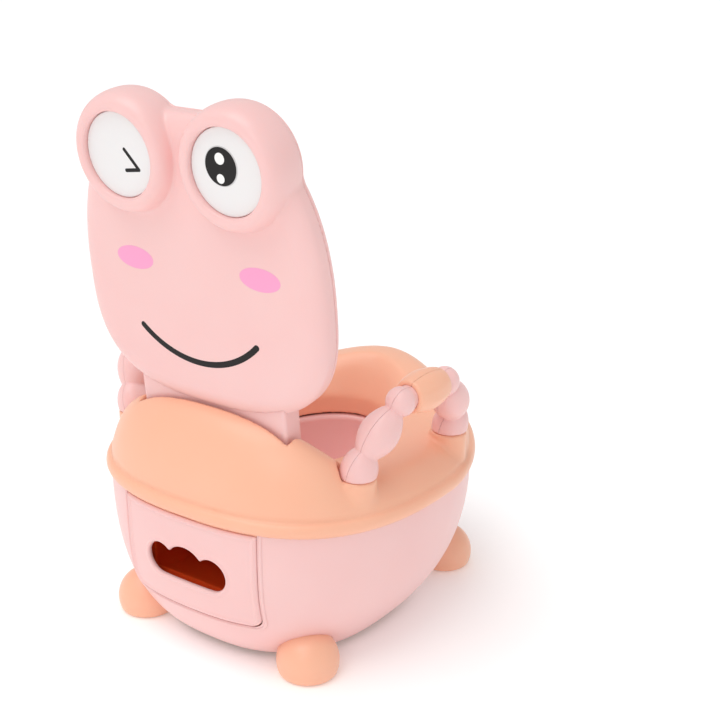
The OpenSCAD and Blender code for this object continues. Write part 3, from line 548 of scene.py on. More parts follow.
# %% Loft the tub
tub_tree, size = new_tree("tub_loft", TUB_SIZES)
ROUND, UP = 288, 120
grid = add(tub_tree, "GeometryNodeMeshGrid",
           {"Size X": 1.0, "Size Y": 1.0, "Vertices X": ROUND + 1, "Vertices Y": UP + 1})
spot = add(tub_tree, "GeometryNodeInputPosition")
place = add(tub_tree, "ShaderNodeSeparateXYZ", {0: spot.outputs[0]})
value = {label: size[label] for label in TUB_SIZES}
value.update({"grid x": place.outputs["X"], "grid y": place.outputs["Y"]})
for name, operation, *terms in TUB_RULE:
    inputs = {i: value.get(term, term) for i, term in enumerate(terms)}
    value[name] = add(tub_tree, "ShaderNodeMath", inputs, operation=operation).outputs[0]
spot = add(tub_tree, "ShaderNodeCombineXYZ",
           {"X": value["spot x"], "Y": value["spot y"], "Z": value["height"]})
in_metres = add(tub_tree, "ShaderNodeVectorMath", {0: spot.outputs[0], "Scale": MM}, operation="SCALE")
moved = add(tub_tree, "GeometryNodeSetPosition",
            {"Geometry": grid.outputs["Mesh"], "Position": in_metres.outputs[0]})
joined = add(tub_tree, "GeometryNodeMergeByDistance", {"Geometry": moved.outputs[0], "Distance": 0.00002})
finish_tree(tub_tree, joined.outputs[0], PINK)
tub = grown("tub", tub_tree, **TUB_SIZES)


def tub_wall(x, z, inset=0.0):
    """How far back the tub's rear wall is at (x, z), inset by that much."""
    drop = np.clip((BAND_LOW - z) / TUB_DROP, 0, 1)
    half_width, rear = (TUB_SIZES[name] * (1 - DRAW_IN[name][0] * drop ** DRAW_IN[name][1]) - inset
                        for name in ("Half width", "Rear"))
    share = np.clip(1 - np.power(np.abs(x) / half_width, SQUARE_REAR), 1e-6, 1)
    return RIM_MIDDLE + rear * np.power(share, 1 / SQUARE_REAR)


# %% [markdown]
# The drawer's opening is cut with a Boolean, and a raised frame is swept round its edge. The frame
# follows a path on the wall, which is what Curve to Mesh is for.

# %% Cut the drawer's opening
DRAWER_HALF, DRAWER_LOW, DRAWER_HIGH, DRAWER_NARROW, DRAWER_CORNER = 62.0, 45.0, 123.2, 0.5, 9.0


def drawer_outline(grow, top):
    """Points round the drawer front from the top left, down, and up to the top right."""
    w, low = DRAWER_HALF + grow, DRAWER_LOW - grow
    bottom = w - DRAWER_NARROW
    left = [(-bottom + DRAWER_CORNER * (1 - math.cos(a)), low + DRAWER_CORNER * (1 - math.sin(a)))
            for a in np.radians(np.linspace(0, 90, 9))]
    side = [(-w + (left[0][0] + w) * f, top + (left[0][1] - top) * f)
            for f in np.linspace(0, 1, 16, endpoint=False)]
    floor = [(left[-1][0] * (1 - 2 * f), low) for f in np.linspace(0, 1, 24)[1:-1]]
    half = side + left
    return half + floor + [(-a, b) for a, b in reversed(half)]


def prism(outline, y0, y1):
    """A block with an outline in x and z, from y0 to y1."""
    n = len(outline)
    points = [(a, y, b) for y in (y0, y1) for a, b in outline]
    faces = [tuple(range(n)), tuple(range(2 * n - 1, n - 1, -1))]
    faces += [(i, i + n, (i + 1) % n + n, (i + 1) % n) for i in range(n)]
    piece = mesh_piece("cutter", points, faces)
    turn_outward(piece.data)
    return piece


def cut(piece, cutter):
    modifier = piece.modifiers.new("cut", "BOOLEAN")
    modifier.operation, modifier.solver, modifier.object = "DIFFERENCE", "EXACT", cutter
    result = evaluated_mesh(piece)
    piece.modifiers.clear()
    old, piece.data = piece.data, result
    bpy.data.meshes.remove(old)
    bpy.data.objects.remove(cutter)


cut(tub, prism(drawer_outline(0.8, 150.0), 100.0, 200.0))
tub.data.set_sharp_from_angle(angle=math.radians(40))
settle_piece(tub, "chair", "pink_plastic", PINK, "body_shell")
print("tub after the cut:", len(tub.data.polygons), "faces")

# %% Sweep the raised frame
frame_tree, size = new_tree("drawer_surround_sweep", {"Radius": 1.5 * MM})
path = add(frame_tree, "GeometryNodeMeshToCurve", {"Mesh": frame_tree.nodes[0].outputs["Geometry"]})
ring = add(frame_tree, "GeometryNodeCurvePrimitiveCircle",
           {"Resolution": 20, "Radius": size["Radius"]})
tube = add(frame_tree, "GeometryNodeCurveToMesh", {"Curve": path.outputs[0], "Profile Curve": ring.outputs[0],
                                                   "Fill Caps": True})
finish_tree(frame_tree, tube.outputs[0], PINK)


route = drawer_outline(2.6, 125.0)
route = [(a, float(tub_wall(a, b)) - 0.55, b) for a, b in route]
links = [(i, i + 1) for i in range(len(route) - 1)]
surround = grown("drawer_surround", frame_tree, points_mesh("surround_path", route, links), Radius=1.5 * MM)
settle_piece(surround, "chair", "pink_plastic", PINK)

# %% [markdown]
# ## The drawer
# Its front is a curved plate that lies flush in the tub's wall, with a thin raised border and a
# cloud-shaped finger hole with a soft lip. The plate bends with the wall, so its field is measured
# from the wall. The tray behind keeps its CAD shape.

# %% Drawer front
CLOUD_Z = 82.0


def drawer_plate_outline(x, z):
    """Distance to the drawer front's outline, seen from behind."""
    lean = DRAWER_NARROW / (DRAWER_HIGH - DRAWER_LOW)
    half = DRAWER_HALF - (DRAWER_HIGH - z) * lean
    u = np.abs(x) - half + DRAWER_CORNER
    v = DRAWER_LOW - z + DRAWER_CORNER
    lower = hypot(np.maximum(u, 0), np.maximum(v, 0)) + np.minimum(np.maximum(u, v), 0) - DRAWER_CORNER
    return both(lower, z - DRAWER_HIGH, 1.0)


def cloud(x, z):
    """Two side lobes, a middle lobe and a rounded floor."""
    z = z - CLOUD_Z
    lobes = hypot(np.abs(x) - 24, z) - 13
    middle = (hypot(x / 17, (z - 2.5) / 13.6) - 1) * 14
    floor = np.maximum(np.abs(x) - 24, np.abs(z + 4) - 9)
    return either(either(lobes, middle, 1.0), floor)


def drawer_front_field(x, y, z):
    outline = drawer_plate_outline(x, z)
    hole = cloud(x, z)
    border = 1.3 * np.exp(-np.square((outline + 2.4) / 1.3))
    lip = 1.1 * np.exp(-np.square((hole - 1.9) / 1.3))
    outer = y - tub_wall(x, z) - 0.5 - border - lip
    plate = both(outer, -(y - tub_wall(x, z, 3.0)), 0.8)
    plate = both(plate, outline, 0.9)
    return without(plate, hole, 1.3)


drawer_front = carve("drawer_panel", drawer_front_field, (-62, 120, 44), (62, 156, 124), 0.8)
settle_piece(drawer_front, "drawer", "pink_plastic", PINK, "drawer_front")

# %% [markdown]
# The bowl is turned from one profile, stretched along its length. A lathe in code keeps the wall even.

# %% Bowl
def lathe(name, profile, turns, centre, stretch=1.0):
    """Turns a closed profile of (radius, height) about the z axis; radius 0 closes a pole."""
    points, rings = [], []
    for radius, height in profile:
        if radius < 1e-6:
            rings.append([len(points)] * turns)
            points.append((centre[0], centre[1], height))
        else:
            rings.append(list(range(len(points), len(points) + turns)))
            points += [(centre[0] + radius * math.cos(a), centre[1] + radius * stretch * math.sin(a), height)
                       for a in np.linspace(0, 2 * math.pi, turns, endpoint=False)]
    faces = []
    for lower, upper in zip(rings, rings[1:]):
        for j in range(turns):
            k = (j + 1) % turns
            face = list(dict.fromkeys([lower[j], lower[k], upper[k], upper[j]]))
            if len(face) > 2:
                faces.append(face)
    return mesh_piece(name, points, faces)


BOWL_LOW, BOWL_HIGH = 54.3, 122.0


def bowl_side(share):
    return 53.5 - 15 * (1 - share) ** 2.2


rise = BOWL_HIGH - BOWL_LOW
outside = [(0, 0), (20, 0), (34, 0.0)]
outside += [(bowl_side(f) - 3 * (1 - f) ** 12, 1.2 + (rise - 5) * f) for f in np.linspace(0, 1, 26)]
rolled = [(53.5 + 2.5 * math.sin(a), rise - 1.6 - 1.6 * math.cos(a))
          for a in np.radians(np.linspace(20, 180, 9))]
inside = [(bowl_side(f) - 2.5 - 3 * (1 - f) ** 12, 3.6 + (rise - 6) * f) for f in np.linspace(1, 0, 26)]
profile = outside + rolled + inside + [(30, 2.5), (15, 2.5), (0, 2.5)]
bowl = lathe("bowl", [(r, h + BOWL_LOW) for r, h in profile], 144, (0.0, HOLE_MIDDLE), 83 / 56)
settle_piece(bowl, "drawer", "pink_plastic", PINK, "drawer_bowl")
print("bowl", [round(v, 1) for v in bowl.dimensions / MM], "mm")

# %% [markdown]
# ## Feet
# Four balls with a small flat to stand on, each with a stem that meets the deck inside the tub.

# %% Feet
FOOT_R, FOOT_FLAT = 24.0, 13.0
FEET = {"foot_rear_left": (81, 109), "foot_rear_right": (-81, 109),
        "foot_front_left": (75, -98), "foot_front_right": (-75, -98)}
for node, (fx, fy) in FEET.items():
    sx, sy = fx - 8 * np.sign(fx), fy - 8 * np.sign(fy)

    def foot_field(x, y, z):
        ball = hypot(x - fx, y - fy, z - (FOOT_R - FOOT_FLAT)) - FOOT_R
        stem = np.maximum(hypot(x - sx, y - sy) - 8, np.maximum(24 - z, z - 44))
        return both(either(ball, stem, 2.0), -z, 2.5)

    foot = carve(node + "_ball", foot_field, (fx - 25, fy - 25, 0), (fx + 25, fy + 25, 44), 1.1)
    settle_piece(foot, "chair", "orange_plastic", ORANGE, node)

# %% [markdown]
# ## The lid
# The lid is drawn upright about its hinge axis: x across, y out from the seat, v up from the axis. One
# function carries it to its place. Its face is a softly crowned shell that carries two fat eye rings,
# joined by a web, and its back panel carries the neck that turns in the seat's slot.

# %% Lid frame and outline
def lid_place(points):
    """From the lid's own frame (x, outward, up from the axis) to the chair's."""
    x, y, v = points.T
    back, up = y * math.cos(LEAN) + v * math.sin(LEAN), v * math.cos(LEAN) - y * math.sin(LEAN)
    return np.stack([x, back, up], 1) + HINGE


FACE_OUT, FACE_V, FACE_HALF = 25.0, 125.0, 107.0
BACK_Y, SEAM_Y, RING_OUT, DISC_OUT = 1.0, 7.0, 37.0, 33.0
DISC_R, RING_R, RING_CREST = 29.5, 42.5, 33.5
RING_POWER = 2.3                 # 2 would be an ellipse; a little more is fatter
NECK_HALF, NECK_OUT, NECK_IN = 67.0, 20.0, 2.0
WEB_V = 252.5                    # top of the web between the eye rings
LUG_X, LUG_HALF = 54.0, 7.5


def face_share(x, v):
    upper = v > FACE_V
    n = np.where(upper, 2.3, 2.8)
    b = np.where(upper, 136.0, 87.0)
    share = np.power(np.abs(x) / FACE_HALF, n) + np.power(np.abs(v - FACE_V) / b, n)
    return np.power(share + 1e-12, 1 / n) - 1


def face_outline(x, v):
    return both(measured(face_share, x, v), v - WEB_V, 8.0)


def eye_distance(x, v):
    return hypot(np.abs(x) - EYE_X, v - EYE_V)


def lid_form(x, y, v):
    """The closed lid, both shells together and without the neck."""
    edge = face_outline(x, v)
    crown = y - FACE_OUT - 0.8 * (1 - np.square(x / FACE_HALF)) * (1 - np.square((v - FACE_V) / 130))
    face = both(edge, crown * 1.55, 17.0)
    face = both(face, BACK_Y - y, SEAM_Y - BACK_Y)
    r = eye_distance(x, v)
    across = np.abs(r - RING_CREST) / (RING_R - RING_CREST)
    deep = np.abs(y - (RING_OUT + BACK_Y) / 2) / ((RING_OUT - BACK_Y) / 2)
    fat = np.power(np.power(across, RING_POWER) + np.power(deep, RING_POWER) + 1e-12, 1 / RING_POWER)
    ring = (fat - 1) * (RING_R - RING_CREST)
    inner = np.maximum(r - RING_CREST, np.maximum(y - DISC_OUT + 2, BACK_Y - y))
    head = either(face, either(ring, inner, 1.0), 2.0)
    pan = np.maximum(r - DISC_R - 0.5, DISC_OUT - 2 - y)
    return without(head, pan, 0.6)


def face_field(x, y, v):
    neck_room = np.maximum(np.maximum(np.abs(x) - NECK_HALF - 0.5, y - NECK_OUT - 0.3), v - 68)
    head = without(lid_form(x, y, v), neck_room, 0.8)
    return both(head, SEAM_Y + 0.15 - y, 0.7)


lid_face = carve("lid_face", face_field, (-107, 6, 36), (107, 38, 267), 1.3, lid_place)
settle_piece(lid_face, "lid", "pink_plastic", PINK, "lid_face_shell")

# %% [markdown]
# The back shell closes the lid from behind and carries the neck. Both shells are cut from one form
# at the seam, so their edges meet without any fitting.

# %% Lid back, neck and lugs
def back_field(x, y, v):
    panel = both(lid_form(x, y, v), y - SEAM_Y + 0.15, 0.7)
    upright = np.maximum(np.maximum(NECK_IN - y, y - NECK_OUT), np.maximum(-v, v - 60))
    curl = np.maximum(hypot(y, v) - (NECK_OUT - 1.5), np.maximum(-y, v))
    neck = either(either(upright, curl, 1.0), hypot(y, v) - 9.0, 1.0)
    neck = both(neck, np.abs(x) - NECK_HALF, 2.2)
    lug = np.maximum(hypot(y, v) - NECK_OUT, np.maximum(-y, v))
    lug = both(lug, np.abs(np.abs(x) - LUG_X) - LUG_HALF, 1.0)
    neck = either(neck, lug, 0.8)
    return either(panel, neck, 1.5)


lid_back = carve("lid_back", back_field, (-107, -10, -21), (107, 21, 267), 1.4, lid_place)
settle_piece(lid_back, "lid", "pink_plastic", PINK, "lid_back_panel")

# %% [markdown]
# The white of each eye is a separate disc pressed into its ring, so it is turned on the lathe and
# then stood upright in the lid's frame.

# %% Eye discs
for sign, node in ((1, "eye_disc_left"), (-1, "eye_disc_right")):
    rim = [(DISC_R - 0.6 + 0.6 * math.sin(a), -0.6 + 0.6 * math.cos(a))
           for a in np.radians(np.linspace(0, 90, 6))]
    turned = [(0, -2.0), (20, -2.0), (DISC_R, -2.0)] + rim[::-1] + [(20, 0), (0, 0)]
    disc = lathe(node + "_plate", turned, 96, (0, 0))
    flat = np.array([v.co for v in disc.data.vertices]) / MM
    upright = np.stack([sign * EYE_X + flat[:, 0], DISC_OUT + flat[:, 2], EYE_V - flat[:, 1]], 1)
    disc.data.vertices.foreach_set("co", (lid_place(upright) * MM).ravel())
    disc.data.update()
    settle_piece(disc, "lid", "white_plastic", WHITE, node)

# %% [markdown]
# ## Printed face
# The eyes, cheeks and mouth are pad-printed: a silicone pad lays one thin film of ink per colour on
# the finished shell. Each print is its own film, a twentieth of a millimetre proud, with its rim sunk
# into the plastic so that it is closed.

# %% Ink films
def lid_surface(x, v):
    """How far out the lid's face is where it is nearly flat."""
    return FACE_OUT + 0.8 * (1 - np.square(x / FACE_HALF)) * (1 - np.square((v - FACE_V) / 130))


def film(name, across, along, finish, surface, lift=0.05):
    """A film over a grid of points; across and along are matching 2D arrays of x and v."""
    rows, columns = across.shape
    top = np.stack([across, surface(across, along) + lift, along], 2).reshape(-1, 3)
    bottom = top - np.array([0, 0.4, 0])
    faces = []
    for i in range(rows - 1):
        for j in range(columns - 1):
            a = i * columns + j
            b, c, d = a + 1, a + columns + 1, a + columns
            faces += [(a, b, c, d), (d + len(top), c + len(top), b + len(top), a + len(top))]
    rim = ([j for j in range(columns)] + [i * columns + columns - 1 for i in range(1, rows)]
           + [(rows - 1) * columns + j for j in range(columns - 2, -1, -1)]
           + [i * columns for i in range(rows - 2, 0, -1)])
    n = len(top)
    faces += [(a, a + n, b + n, b) for a, b in zip(rim, rim[1:] + rim[:1])]
    piece = mesh_piece(name, np.concatenate([top, bottom]), faces, lid_place)
    turn_outward(piece.data, 0.004 * MM)
    piece.data.set_sharp_from_angle(angle=math.radians(40))
    settle_piece(piece, "lid", "white_plastic" if finish is WHITE_INK else "pink_plastic", finish)


def oval_grid(cx, cv, rx, rv, tilt=0.0):
    """A squared-off polar grid: a disc as a grid of rows, so that film() can take it."""
    u, w = np.meshgrid(np.linspace(-1, 1, 41), np.linspace(-1, 1, 41), indexing="ij")
    x, v = u * np.sqrt(1 - w * w / 2), w * np.sqrt(1 - u * u / 2)
    x, v = x * rx, v * rv
    return cx + x * math.cos(tilt) - v * math.sin(tilt), cv + x * math.sin(tilt) + v * math.cos(tilt)


def stroke_grid(points, width):
    """A brush stroke of even width with round ends along a list of points."""
    points = np.array(points, float)
    step = np.linalg.norm(np.diff(points, axis=0), axis=1)
    reach = np.concatenate([[0], np.cumsum(step)])
    total, half = reach[-1], width / 2
    at = np.concatenate([-half * np.cos(np.linspace(0, math.pi / 2, 9))[:-1], np.linspace(0, total, 70),
                         total + half * np.sin(np.linspace(0, math.pi / 2, 9))[1:]])
    inner = np.clip(at, 0, total)
    x, v = np.interp(inner, reach, points[:, 0]), np.interp(inner, reach, points[:, 1])
    ahead = np.clip(inner + 0.4, 0, total), np.clip(inner - 0.4, 0, total)
    dx = np.interp(ahead[0], reach, points[:, 0]) - np.interp(ahead[1], reach, points[:, 0])
    dv = np.interp(ahead[0], reach, points[:, 1]) - np.interp(ahead[1], reach, points[:, 1])
    run = np.hypot(dx, dv)
    dx, dv = dx / run, dv / run
    over = at - inner
    wide = np.sqrt(np.maximum(half ** 2 - over ** 2, 0.0004))
    j = np.linspace(-1, 1, 7)
    return ((x + dx * over)[:, None] + (-dv * wide)[:, None] * j,
            (v + dv * over)[:, None] + (dx * wide)[:, None] * j)


def disc_surface(x, v):
    return np.full_like(x, DISC_OUT)


MOUTH_R, MOUTH_X, MOUTH_V = 75.2, 2.2, 150.3
mouth = [(MOUTH_X + MOUTH_R * math.sin(a), MOUTH_V - MOUTH_R * math.cos(a))
         for a in np.radians(np.linspace(-46.2, 42.0, 60))]
film("mouth_print", *stroke_grid(mouth, 4.6), BLACK_INK, lid_surface)
film("cheek_left_print", *oval_grid(52.1, 146.2, 17.1, 8.4), BLUSH_INK, lid_surface)
film("cheek_right_print", *oval_grid(-60.0, 149.4, 17.1, 8.4), BLUSH_INK, lid_surface)
WINK = [(41.8, 227.3), (30.3, 214.5), (41.9, 212.8)]
for name, start, end, lift in (("upper", WINK[0], WINK[1], 0.06), ("lower", WINK[1], WINK[2], 0.05)):
    stroke = np.linspace(start, end, 20)
    film(f"wink_{name}_print", *stroke_grid(stroke, 2.6), BLACK_INK, disc_surface, lift)
PUPIL = (-42.2, 226.3)
film("pupil_halo_print", *oval_grid(PUPIL[0] - 0.4, PUPIL[1] + 0.2, 13.5, 13.5), GREY_INK, disc_surface, 0.03)
film("pupil_print", *oval_grid(*PUPIL, 12.8, 12.8), BLACK_INK, disc_surface, 0.06)
film("pupil_upper_glint_print", *oval_grid(-41.7, 231.4, 3.9, 3.9), WHITE_INK, disc_surface, 0.09)
film("pupil_lower_glint_print", *oval_grid(-41.2, 218.1, 3.2, 3.2), WHITE_INK, disc_surface, 0.09)

# %% [markdown]
# ## Arm rests
# Each arm rest is a string of moulded beads: a dome on the seat's pad, a long bead, a small bead and a
# barrel grip, mirrored fore and aft. It is moulded in two halves, so a seam runs along all of it. The
# beads are one field, and the finished skin is cut in two at the seam.

# %% Arm rest frame
ARM_MIDDLE = (ARM_REAR + ARM_FRONT) / 2
ARM_HALF = float(np.linalg.norm(ARM_REAR - ARM_FRONT)) / 2
ARM_YAW = math.atan2(ARM_FRONT[0] - ARM_REAR[0], ARM_REAR[1] - ARM_FRONT[1])
ARM_LEAN = math.radians(16.0)
GRIP_T, GRIP_HALF, GRIP_R, GRIP_END_R, CORE_R = 55.5, 18.5, 15.5, 12.0, 9.0
SMALL_S = 26.5                   # middle of the small bead, along the arm rest
DOME_R = 13.8
ARM_TURN = np.array(Matrix.Rotation(ARM_YAW, 3, "Z") @ Matrix.Rotation(ARM_LEAN, 3, "Y"))
ARM_PLACE = np.array([ARM_MIDDLE[0], ARM_MIDDLE[1], ARM_SEAT])


def arm_place(points):
    """From the left arm rest's own frame (outward, along, up its lean) to the chair's."""
    return points @ ARM_TURN.T + ARM_PLACE


def swelling(share):
    """0 at both ends of a barrel and 1 in its middle."""
    return np.power(np.maximum(np.sin(math.pi * share), 0), 0.85)


def bead(x, s, t, start, end, end_r, middle_r):
    """A barrel-shaped bead between two points of the arm rest's plane."""
    d = np.array(end) - np.array(start)
    length = float(np.hypot(*d))
    along = ((s - start[0]) * d[0] + (t - start[1]) * d[1]) / length
    off = ((s - start[0]) * d[1] - (t - start[1]) * d[0]) / length
    share = np.clip(along / length, 0.0, 1.0)
    radius = end_r + (middle_r - end_r) * swelling(share)
    return both((hypot(x, off) - radius) * 0.85, np.abs(along - length / 2) - length / 2, 2.0)


def arm_field(x, y, z):
    s = np.abs(y)
    out = s - ARM_HALF
    dome = (hypot(hypot(x, out) / DOME_R, (z - 5) / 19.0) - 1) * 14
    dome = np.maximum(dome, hypot(x, out) - DOME_R)
    long_bead = bead(x, s, z, (ARM_HALF - 1.2, 18.0), (SMALL_S + 5, GRIP_T - 7.5), 7.5, 14.6)
    small = hypot(x, s - SMALL_S, z - GRIP_T + 1) - 11.0
    core = np.maximum(hypot(x, z - GRIP_T) - CORE_R, s - 30)
    form = either(either(dome, long_bead, 1.2), either(small, core, 0.8), 1.5)
    seat_plane = -(z * math.cos(ARM_LEAN) - x * math.sin(ARM_LEAN)) + 0.1
    return both(form, seat_plane, 1.4)


# %% Cut at the seam
def halves(piece, gap=0.12):
    """Cuts a piece still in its own frame at x = 0 and returns the outer and the inner half, each closed."""
    made = []
    for side in (1, -1):
        bm = bmesh.new()
        bm.from_mesh(piece.data)
        everything = bm.verts[:] + bm.edges[:] + bm.faces[:]
        bmesh.ops.bisect_plane(bm, geom=everything, plane_co=(side * gap * MM, 0, 0), plane_no=(side, 0, 0),
                               clear_inner=True)
        rim = [e for e in bm.edges if e.is_boundary]
        bmesh.ops.triangle_fill(bm, edges=rim, use_beauty=True)
        bmesh.ops.recalc_face_normals(bm, faces=bm.faces)
        mesh = bpy.data.meshes.new("half")
        bm.to_mesh(mesh)
        bm.free()
        made.append(mesh)
    bpy.data.objects.remove(piece)
    return made


def arm_piece(name, mesh, mirrored, finish, node):
    """Carries a half into the left or, mirrored, the right arm rest."""
    mesh = mesh.copy()
    points = np.array([v.co for v in mesh.vertices]) / MM
    points = arm_place(points)
    if mirrored:
        points[:, 0] *= -1
        mesh.flip_normals()
    mesh.vertices.foreach_set("co", (points * MM).ravel())
    mesh.shade_smooth()
    mesh.set_sharp_from_angle(angle=math.radians(50))
    mesh.update()
    slot = "pink_plastic" if finish is PINK else "orange_plastic"
    settle_piece(stand(name, mesh), "chair", slot, finish, node)


beads = carve("arm_beads", arm_field, (-17, -72, -5), (17, 72, 70), 0.85)
for half, label in zip(halves(beads), ("outer", "inner")):
    for side in ("left", "right"):
        arm_piece(f"arm_{side}_{label}_shell", half, side == "right", PINK, f"arm_{side}_{label}")


# %% [markdown]
# The grip is a barrel with ten soft flats, so that small fingers feel its edges.

# %% Grips
def grip_field(x, y, z):
    up = z - GRIP_T
    share = np.clip((y + GRIP_HALF) / (2 * GRIP_HALF), 0, 1)
    swell = swelling(share)
    around = np.arctan2(up, x)
    flats = 1 - 0.012 * (1 - np.cos(10 * around)) * swell
    barrel = (hypot(x, up) - (GRIP_END_R + (GRIP_R - GRIP_END_R) * swell) * flats)
    barrel = both(barrel, np.abs(y) - GRIP_HALF, 1.6)
    barrel = without(barrel, hypot(x, up) - CORE_R - 0.1)
    return without(barrel, hypot(x, np.abs(y) - SMALL_S, up + 1) - 11.15, 0.5)


barrel = carve("grip_barrel", grip_field, (-16, -19, 39), (16, 19, 72), 0.7)
for half, label in zip(halves(barrel), ("outer", "inner")):
    for side in ("left", "right"):
        arm_piece(f"grip_{side}_{label}_shell", half, side == "right", ORANGE, f"grip_{side}_{label}")


# %% [markdown]
# ## Screws
# The five sets of pan-head screws differ only in place, direction and size, so one Geometry Nodes tree
# sets a turned screw with a cross recess on each point of a set.

# %% Screw tree
SCREW_SIZES = {"Head radius": 3.8 * MM, "Head height": 2.4 * MM, "Shank radius": 1.8 * MM,
               "Length": 28.0 * MM, "Tilt X": 0.0}
screw_tree, value = new_tree("screw_set", SCREW_SIZES)
places = value["Geometry"]
value = {label: value[label] for label in SCREW_SIZES}
SCREW_RULE = [("head middle", "Head height", 0.5), ("shank middle", "Length", -0.5),
              ("slot length", "Head radius", 0.9), ("slot width", "Head radius", 0.22)]
for name, whole, share in SCREW_RULE:
    half = add(screw_tree, "ShaderNodeMath", {0: value[whole], 1: share}, operation="MULTIPLY")
    value[name] = half.outputs[0]
lift = {}
for name in ("head middle", "shank middle", "Head height"):
    lift[name] = add(screw_tree, "ShaderNodeCombineXYZ", {"Z": value[name]}).outputs[0]

head = add(screw_tree, "GeometryNodeMeshCylinder",
           {"Vertices": 32, "Side Segments": 1,
            "Radius": value["Head radius"], "Depth": value["Head height"]})
head = add(screw_tree, "GeometryNodeTransform",
           {"Geometry": head.outputs["Mesh"], "Translation": lift["head middle"]})
head = add(screw_tree, "GeometryNodeMeshBoolean", {"Mesh 1": head.outputs[0]},
           operation="DIFFERENCE", solver="EXACT")
for wide, deep in (("slot length", "slot width"), ("slot width", "slot length")):
    block = add(screw_tree, "ShaderNodeCombineXYZ",
                {"X": value[wide], "Y": value[deep], "Z": value["Head height"]})
    block = add(screw_tree, "GeometryNodeMeshCube", {"Size": block.outputs[0]})
    block = add(screw_tree, "GeometryNodeTransform",
                {"Geometry": block.outputs["Mesh"], "Translation": lift["Head height"]})
    screw_tree.links.new(block.outputs[0], head.inputs["Mesh 2"])
shank = add(screw_tree, "GeometryNodeMeshCylinder",
            {"Vertices": 24, "Radius": value["Shank radius"], "Depth": value["Length"]})
shank = add(screw_tree, "GeometryNodeTransform",
            {"Geometry": shank.outputs["Mesh"], "Translation": lift["shank middle"]})
whole = add(screw_tree, "GeometryNodeJoinGeometry")
for part in (head, shank):
    screw_tree.links.new(part.outputs[0], whole.inputs[0])
turned = add(screw_tree, "ShaderNodeCombineXYZ", {"X": value["Tilt X"]})
screws = add(screw_tree, "GeometryNodeInstanceOnPoints",
             {"Points": places, "Instance": whole.outputs[0], "Rotation": turned.outputs[0]})
finish_tree(screw_tree, screws.outputs[0], STEEL)

# %% [markdown]
# Each set is a short list of seats, a direction and four sizes, because only those differ.

# %% Place the screws
ARM_FEET = [(sx * p[0], p[1], ARM_SEAT - 15) for sx in (-1, 1) for p in (ARM_REAR, ARM_FRONT)]
SEAT_POSTS = [(sx * 86, y, 100) for sx in (-1, 1) for y in (46, -44)]
FOOT_STEMS = [(sx * a, y, 47) for sx in (-1, 1) for a, y in ((73, 101), (67, -90))]
DRAWER_SCREWS = [(sx * 48, 135.8, z) for sx in (-1, 1) for z in (64, 98)]
LID_POINTS = np.array([(side * x, 4.0, v) for x, v in ((82, 110), (80, 165), (60, 66)) for side in (-1, 1)])
SCREW_SETS = {
    "foot_screws": ("chair", FOOT_STEMS, 0.0, 4.0, 2.0, 1.7, 14.0),
    "seat_screws": ("chair", SEAT_POSTS, math.pi, 3.8, 2.4, 1.8, 28.0),
    "arm_screws": ("chair", ARM_FEET, math.pi, 3.8, 2.0, 1.5, 12.0),
    "drawer_screws": ("drawer", DRAWER_SCREWS, math.pi / 2, 3.2, 1.8, 1.4, 6.0),
    "lid_screws": ("lid", lid_place(LID_POINTS), math.pi / 2 - LEAN, 3.0, 1.8, 1.4, 11.0),
}
for node, (body, points, tilt, head_r, head_h, shank_r, length) in SCREW_SETS.items():
    made = grown(node + "_turned", screw_tree, points_mesh(node + "_points", points), **{
        "Head radius": head_r * MM, "Head height": head_h * MM, "Shank radius": shank_r * MM,
        "Length": length * MM, "Tilt X": tilt})
    made.data.set_sharp_from_angle(angle=math.radians(30))
    settle_piece(made, body, "steel", STEEL, node)

# %% [markdown]
# The tray, the base and the pins keep their CAD meshes: their flat walls are their real shape.

# %% Dress the CAD nodes that stay
# the drawer tray wears the orange with painted shade, a deep red-orange for the dim cavity behind the finger
# hole
for node, finish in (("base_tray", ORANGE), ("drawer_tray", PAINTED_SHADE_TRAY_ORANGE), ("hinge_pin_left", STEEL),
                     ("hinge_pin_right", STEEL)):
    dress(frame["nodes"][node], finish)

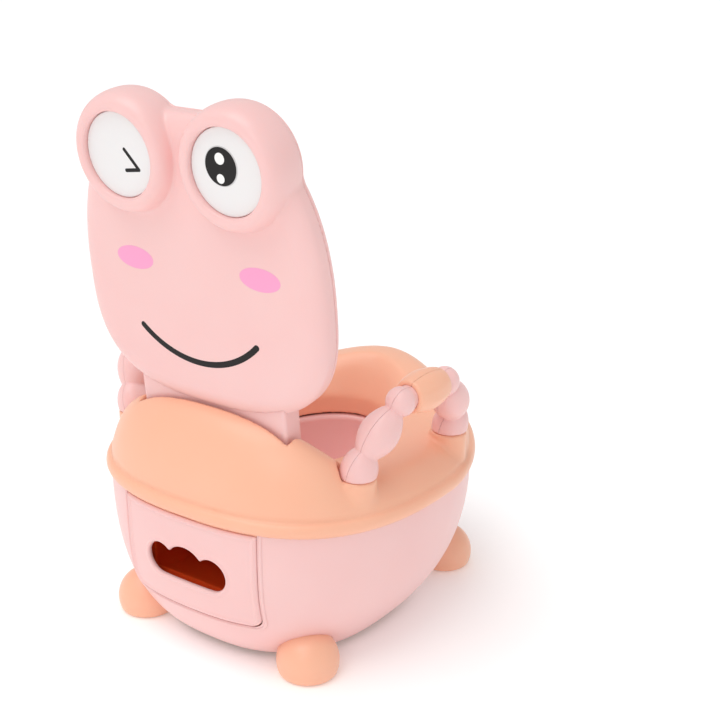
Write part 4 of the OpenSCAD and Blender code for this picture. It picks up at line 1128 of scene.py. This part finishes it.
# %% [markdown]
# ## Floor, light and camera
# A pale floor and wide soft lights, as in a product studio, so that the waxy plastic shows its form
# in slow gradients.

# %% Studio
def aimed(name, data, place, towards):
    """A lamp or camera at a place, looking along a direction."""
    holder = stand(name, data)
    holder.location = place
    holder.rotation_euler = Vector(towards).to_track_quat("-Z", "Y").to_euler()
    return holder


softbox = bpy.data.lights.new("softbox", "AREA")
softbox.shape, softbox.size, softbox.energy = "DISK", 0.9, 4
aimed("softbox", softbox, (-0.6, 1.9, 1.5), (0.6, -1.9, -1.35))
sun = bpy.data.lights.new("key", "SUN")
sun.energy, sun.angle = 1.15, math.radians(45)
aimed("key", sun, (0, 0, 0), (-0.3, -0.65, -1.9))

world = bpy.data.worlds.new("studio")
world.use_nodes = True
world.node_tree.nodes["Background"].inputs["Color"].default_value = (1, 1, 1, 1)
world.node_tree.nodes["Background"].inputs["Strength"].default_value = 0.62
bpy.context.scene.world = world

floor_mesh = bpy.data.meshes.new("floor")
FLOOR_HALF = 60                  # metres, so that the floor fills low views
corners = [(FLOOR_HALF * a, FLOOR_HALF * b, 0) for a, b in ((-1, -1), (1, -1), (1, 1), (-1, 1))]
floor_mesh.from_pydata(corners, [], [(0, 1, 2, 3)])
floor = stand("floor", floor_mesh)
pale, tree, shader = material("pale_studio_floor")
shader.inputs["Base Color"].default_value = linear("#fbfbfb")
shader.inputs["Roughness"].default_value = 0.6
shader.inputs["Emission Color"].default_value = (1, 1, 1, 1)
shader.inputs["Emission Strength"].default_value = 0.15
dress(floor, pale)

# %% [markdown]
# The camera stands behind the chair and to one side, where the face on the lid and the drawer both show.

# %% Camera
camera_data = bpy.data.cameras.new("camera")
camera_data.sensor_width = 36.0
camera_data.lens = 66.0
camera_data.shift_x, camera_data.shift_y = 0.063, 0.081
CAMERA_PLACE, CAMERA_AIM = (-0.5818, 0.7876, 0.5650), (0.54216, -0.74395, -0.39064)
bpy.context.scene.camera = aimed("camera", camera_data, CAMERA_PLACE, CAMERA_AIM)
bpy.context.scene.view_settings.view_transform = "Standard"
